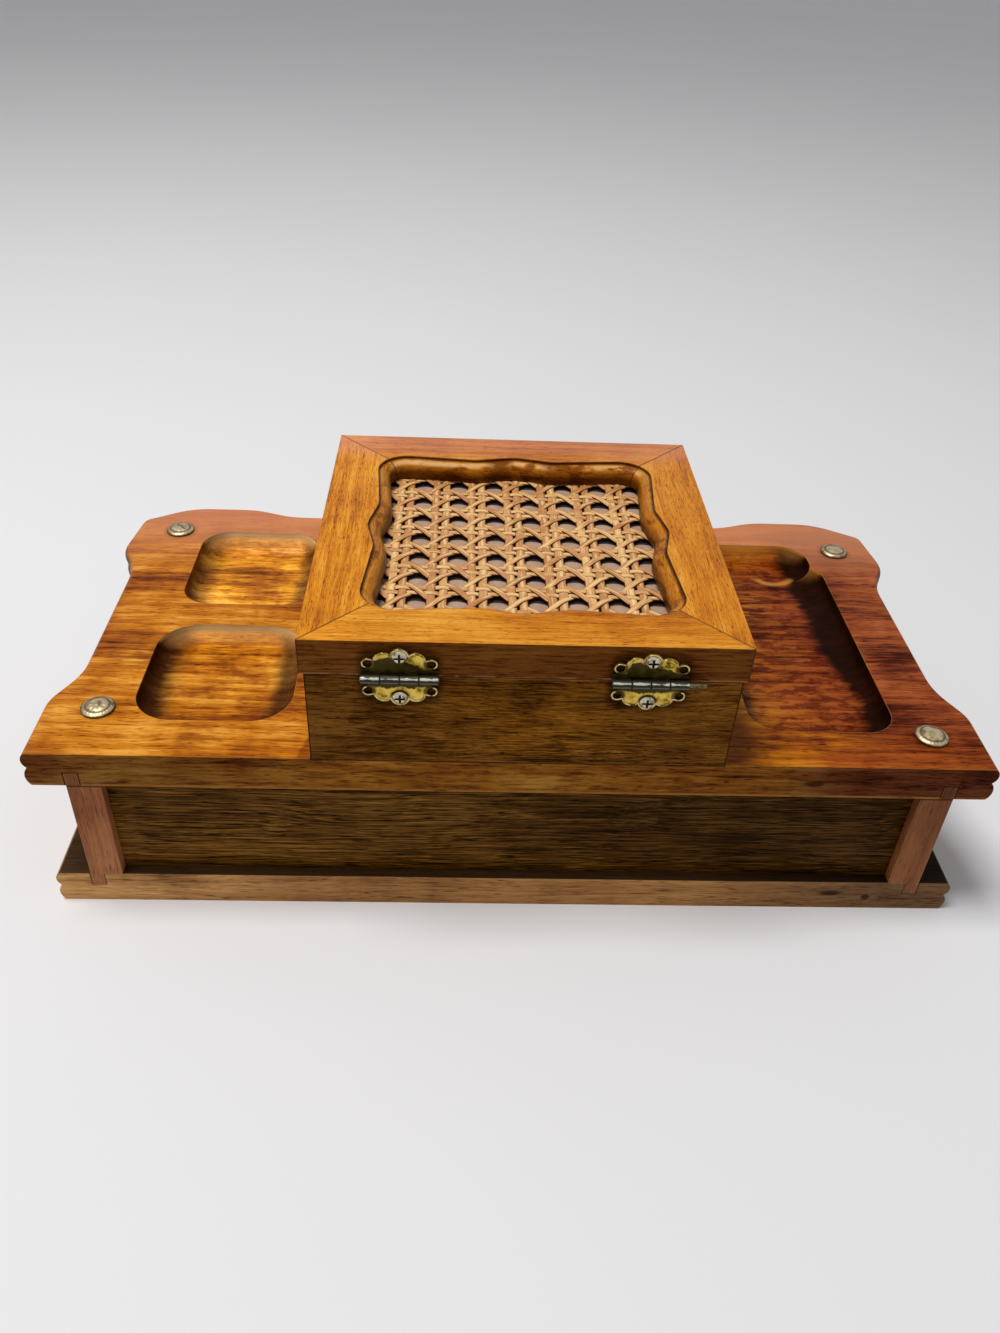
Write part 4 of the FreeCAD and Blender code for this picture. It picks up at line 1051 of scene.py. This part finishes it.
def relief_nails():
    """Domed nail heads with a rosette of eight petals inside a beaded rim."""
    around, rows = 96, 22
    button_share, petal_share, rim_share = 0.14, 0.42, 0.82
    petal_reach, rim_reach = 0.24, 0.09
    shank = ((0.9, -6.5), (0.9, -0.02), (NAIL_RADIUS - 0.25, 0.0), (NAIL_RADIUS, 0.3))
    angles = [2 * math.pi * index / around for index in range(around)]

    def head_height(share, angle):
        """Height of the head at a share of its radius."""
        dome = 0.6 + (NAIL_HEIGHT - 1.2) * (1 - share ** 2.8)
        petal = max(0.0, 1 - abs(share - petal_share) / petal_reach) * abs(math.cos(4 * angle)) ** 0.7
        beads = max(0.0, 1 - abs(share - rim_share) / rim_reach) * (0.5 + 0.5 * math.cos(24 * angle))
        button = max(0.0, 1 - share / button_share) ** 0.5
        return dome + 0.16 * petal + 0.14 * beads + 0.18 * button

    rings = [(radius, [height] * around) for radius, height in shank]
    for row in range(rows):
        share = 1 - row / rows
        rings.append((NAIL_RADIUS * share, [head_height(share, angle) for angle in angles]))
    vertices, faces = [], []
    for center_x, center_y in NAIL_CENTERS:
        faces += ring_faces(len(vertices), len(rings), around)
        for radius, heights in rings:
            for angle, height in zip(angles, heights):
                vertices.append((
                    center_x + radius * math.cos(angle), center_y + radius * math.sin(angle),
                    BOARD_HIGH.z + height))
    new_piece("relief_nails", vertices, faces, pewter, "chest", ["corner_studs"])


relief_nails()


def drawer_pulls():
    """Turned knobs with a collar, a waist and a ring round the face."""
    profile = (
        (4.4, 0.0), (4.4, 0.8), (4.1, 1.2), (3.5, 1.5), (3.15, 2.2), (3.05, 3.6), (3.2, 5.2), (3.9, 6.0),
        (5.2, 6.5), (6.5, 7.2), (7.0, 8.2), (7.0, 9.0), (6.8, 9.8), (6.2, 10.4), (5.7, 10.6), (5.4, 10.5),
        (5.1, 10.6), (4.7, 11.1), (3.8, 11.7), (2.6, 12.15), (1.2, 12.38), (0.2, 12.4))
    for hand in ("right", "left"):
        low, high = box_mm(f"drawer_knob_{hand}")
        center = Vector(((low.x + high.x) / 2, high.y, (low.z + high.z) / 2))
        turn = Euler((math.radians(90), 0, 0)).to_matrix()
        vertices, faces = turned(profile, center, turn)
        new_piece(
            f"drawer_pull_{hand}", vertices, faces, bronze, "drawer",
            [f"drawer_knob_{hand}"])


drawer_pulls()


# Drawer

plain_look = dict(wear_and_highlight_share=0.1, roughness=0.5, blotch=0.6, streak_share=0.8)
dress(wood("drawer_front_wood", UMBER, shift=(210, 15, 40)), "drawer_front")
dress(
    wood("drawer_side_wood", PLAIN, grain="y", shift=(30, 3, 11), **plain_look),
    "drawer_side_left", "drawer_side_right")
dress(wood("drawer_bottom_wood", PLAIN, shift=(80, 23, 6), **plain_look), "drawer_back", "drawer_bottom")


# Felt

def felt_material():
    g = Graph("felt")
    place = g.place()
    nap = g.noise(g.stretch(place, (2.2, 2.2, 2.2)), 5.0, 0.7)
    cloud = g.noise(g.stretch(place, (0.05, 0.05, 0.05)), 3.0)
    colour = g.mix(g.fit(nap, 0.3, 0.75), tint(66, 36, 24), tint(104, 62, 44))
    colour = g.mix(g.fit(cloud, 0.35, 0.7, 0.0, 0.4), colour, tint(54, 28, 18))
    return g.close({
        "Base Color": colour, "Roughness": 0.95, "Sheen Weight": 0.25, "Sheen Roughness": 0.5,
        "Normal": g.bump(nap, 0.6, 0.25)})


def felt_sheet(name, node, body, material):
    """Felt laid on a floor: soft corners and a top that isn't quite flat."""
    low, high = box_mm(node)
    wide, deep, thick = high - low
    cells = 48
    stride = cells + 1
    vertices, faces = [], []
    for layer in (0, 1):
        for row in range(stride):
            for column in range(stride):
                x = low.x + wide * column / cells
                y = low.y + deep * row / cells
                rise = thick * (0.82 + 0.10 * math.sin(x * 0.13 + y * 0.05) * math.sin(y * 0.11 + 1.0))
                if min(column, cells - column, row, cells - row) == 0:
                    rise *= 0.72
                vertices.append((x, y, low.z + layer * rise))
    layer_size = stride * stride
    for row in range(cells):
        for column in range(cells):
            corner = row * stride + column
            quad = (corner, corner + 1, corner + stride + 1, corner + stride)
            faces.append(tuple(reversed(quad)))
            faces.append(tuple(layer_size + index for index in quad))
    border = list(range(cells))
    border += [cells + row * stride for row in range(cells)]
    border += [cells * stride + column for column in range(cells, 0, -1)]
    border += [row * stride for row in range(cells, 0, -1)]
    for start, end in zip(border, border[1:] + border[:1]):
        faces.append((start, end, layer_size + end, layer_size + start))
    piece = new_piece(name, vertices, faces, material, body, [node])


felt = felt_material()
felt_sheet("box_felt", "box_lining", "chest", felt)
felt_sheet("drawer_felt", "drawer_lining", "drawer", felt)


# Floor, light and camera

def floor_material():
    g = Graph("floor_paper")
    cloud = g.noise(g.stretch(g.place(), (0.004, 0.004, 0.004)), 3.0)
    colour = g.mix(cloud, tint(236, 236, 239), tint(241, 241, 243))
    return g.close({"Base Color": colour, "Roughness": 0.9, "Specular IOR Level": 0.2})


def stage():
    corners = [(x * FLOOR_REACH, y * FLOOR_REACH, 0) for x, y in ((-1, -1), (1, -1), (1, 1), (-1, 1))]
    mesh = bpy.data.meshes.new("floor")
    mesh.from_pydata(corners, [], [(0, 1, 2, 3)])
    mesh.materials.append(floor_material())
    floor = bpy.data.objects.new("floor", mesh)
    bpy.context.scene.collection.objects.link(floor)


def lamp():
    light = bpy.data.lights.new("key_light", "AREA")
    light.shape = "RECTANGLE"
    light.size = light.size_y = LAMP_SIZE
    light.energy = LAMP_POWER
    light.color = LAMP_COLOUR
    holder = bpy.data.objects.new("key_light", light)
    holder.location = LAMP_PLACE
    holder.rotation_euler = (Vector(LAMP_TARGET) - Vector(LAMP_PLACE)).to_track_quat("-Z", "Y").to_euler()
    bpy.context.scene.collection.objects.link(holder)


def world():
    """Even soft light, and a pale backdrop for what the camera, gloss and glass see."""
    made = bpy.data.worlds.new("studio")
    made.use_nodes = True
    tree = made.node_tree
    tree.nodes.clear()
    rays = tree.nodes.new("ShaderNodeLightPath")
    seen_by = rays.outputs["Is Camera Ray"]
    for other in ("Is Glossy Ray", "Is Transmission Ray"):
        either = tree.nodes.new("ShaderNodeMath")
        either.operation = "MAXIMUM"
        tree.links.new(seen_by, either.inputs[0])
        tree.links.new(rays.outputs[other], either.inputs[1])
        seen_by = either.outputs[0]
    seen = tree.nodes.new("ShaderNodeBackground")
    seen.inputs["Color"].default_value = tint(222, 224, 230)
    seen.inputs["Strength"].default_value = 1.0
    fill = tree.nodes.new("ShaderNodeBackground")
    fill.inputs["Color"].default_value = (1.0, 1.0, 1.0, 1.0)
    fill.inputs["Strength"].default_value = FILL_STRENGTH
    blend = tree.nodes.new("ShaderNodeMixShader")
    output = tree.nodes.new("ShaderNodeOutputWorld")
    tree.links.new(seen_by, blend.inputs[0])
    tree.links.new(fill.outputs[0], blend.inputs[1])
    tree.links.new(seen.outputs[0], blend.inputs[2])
    tree.links.new(blend.outputs[0], output.inputs[0])
    bpy.context.scene.world = made


def camera():
    data = bpy.data.cameras.new("photo_camera")
    data.lens = CAMERA_LENS
    data.sensor_width = CAMERA_SENSOR
    data.clip_start = 0.01
    holder = bpy.data.objects.new("photo_camera", data)
    holder.location = CAMERA_PLACE
    holder.rotation_euler = Euler([math.radians(angle) for angle in CAMERA_TURN])
    bpy.context.scene.collection.objects.link(holder)
    bpy.context.scene.camera = holder


stage()
world()
camera()
lamp()
bpy.context.scene.view_settings.view_transform = "Standard"
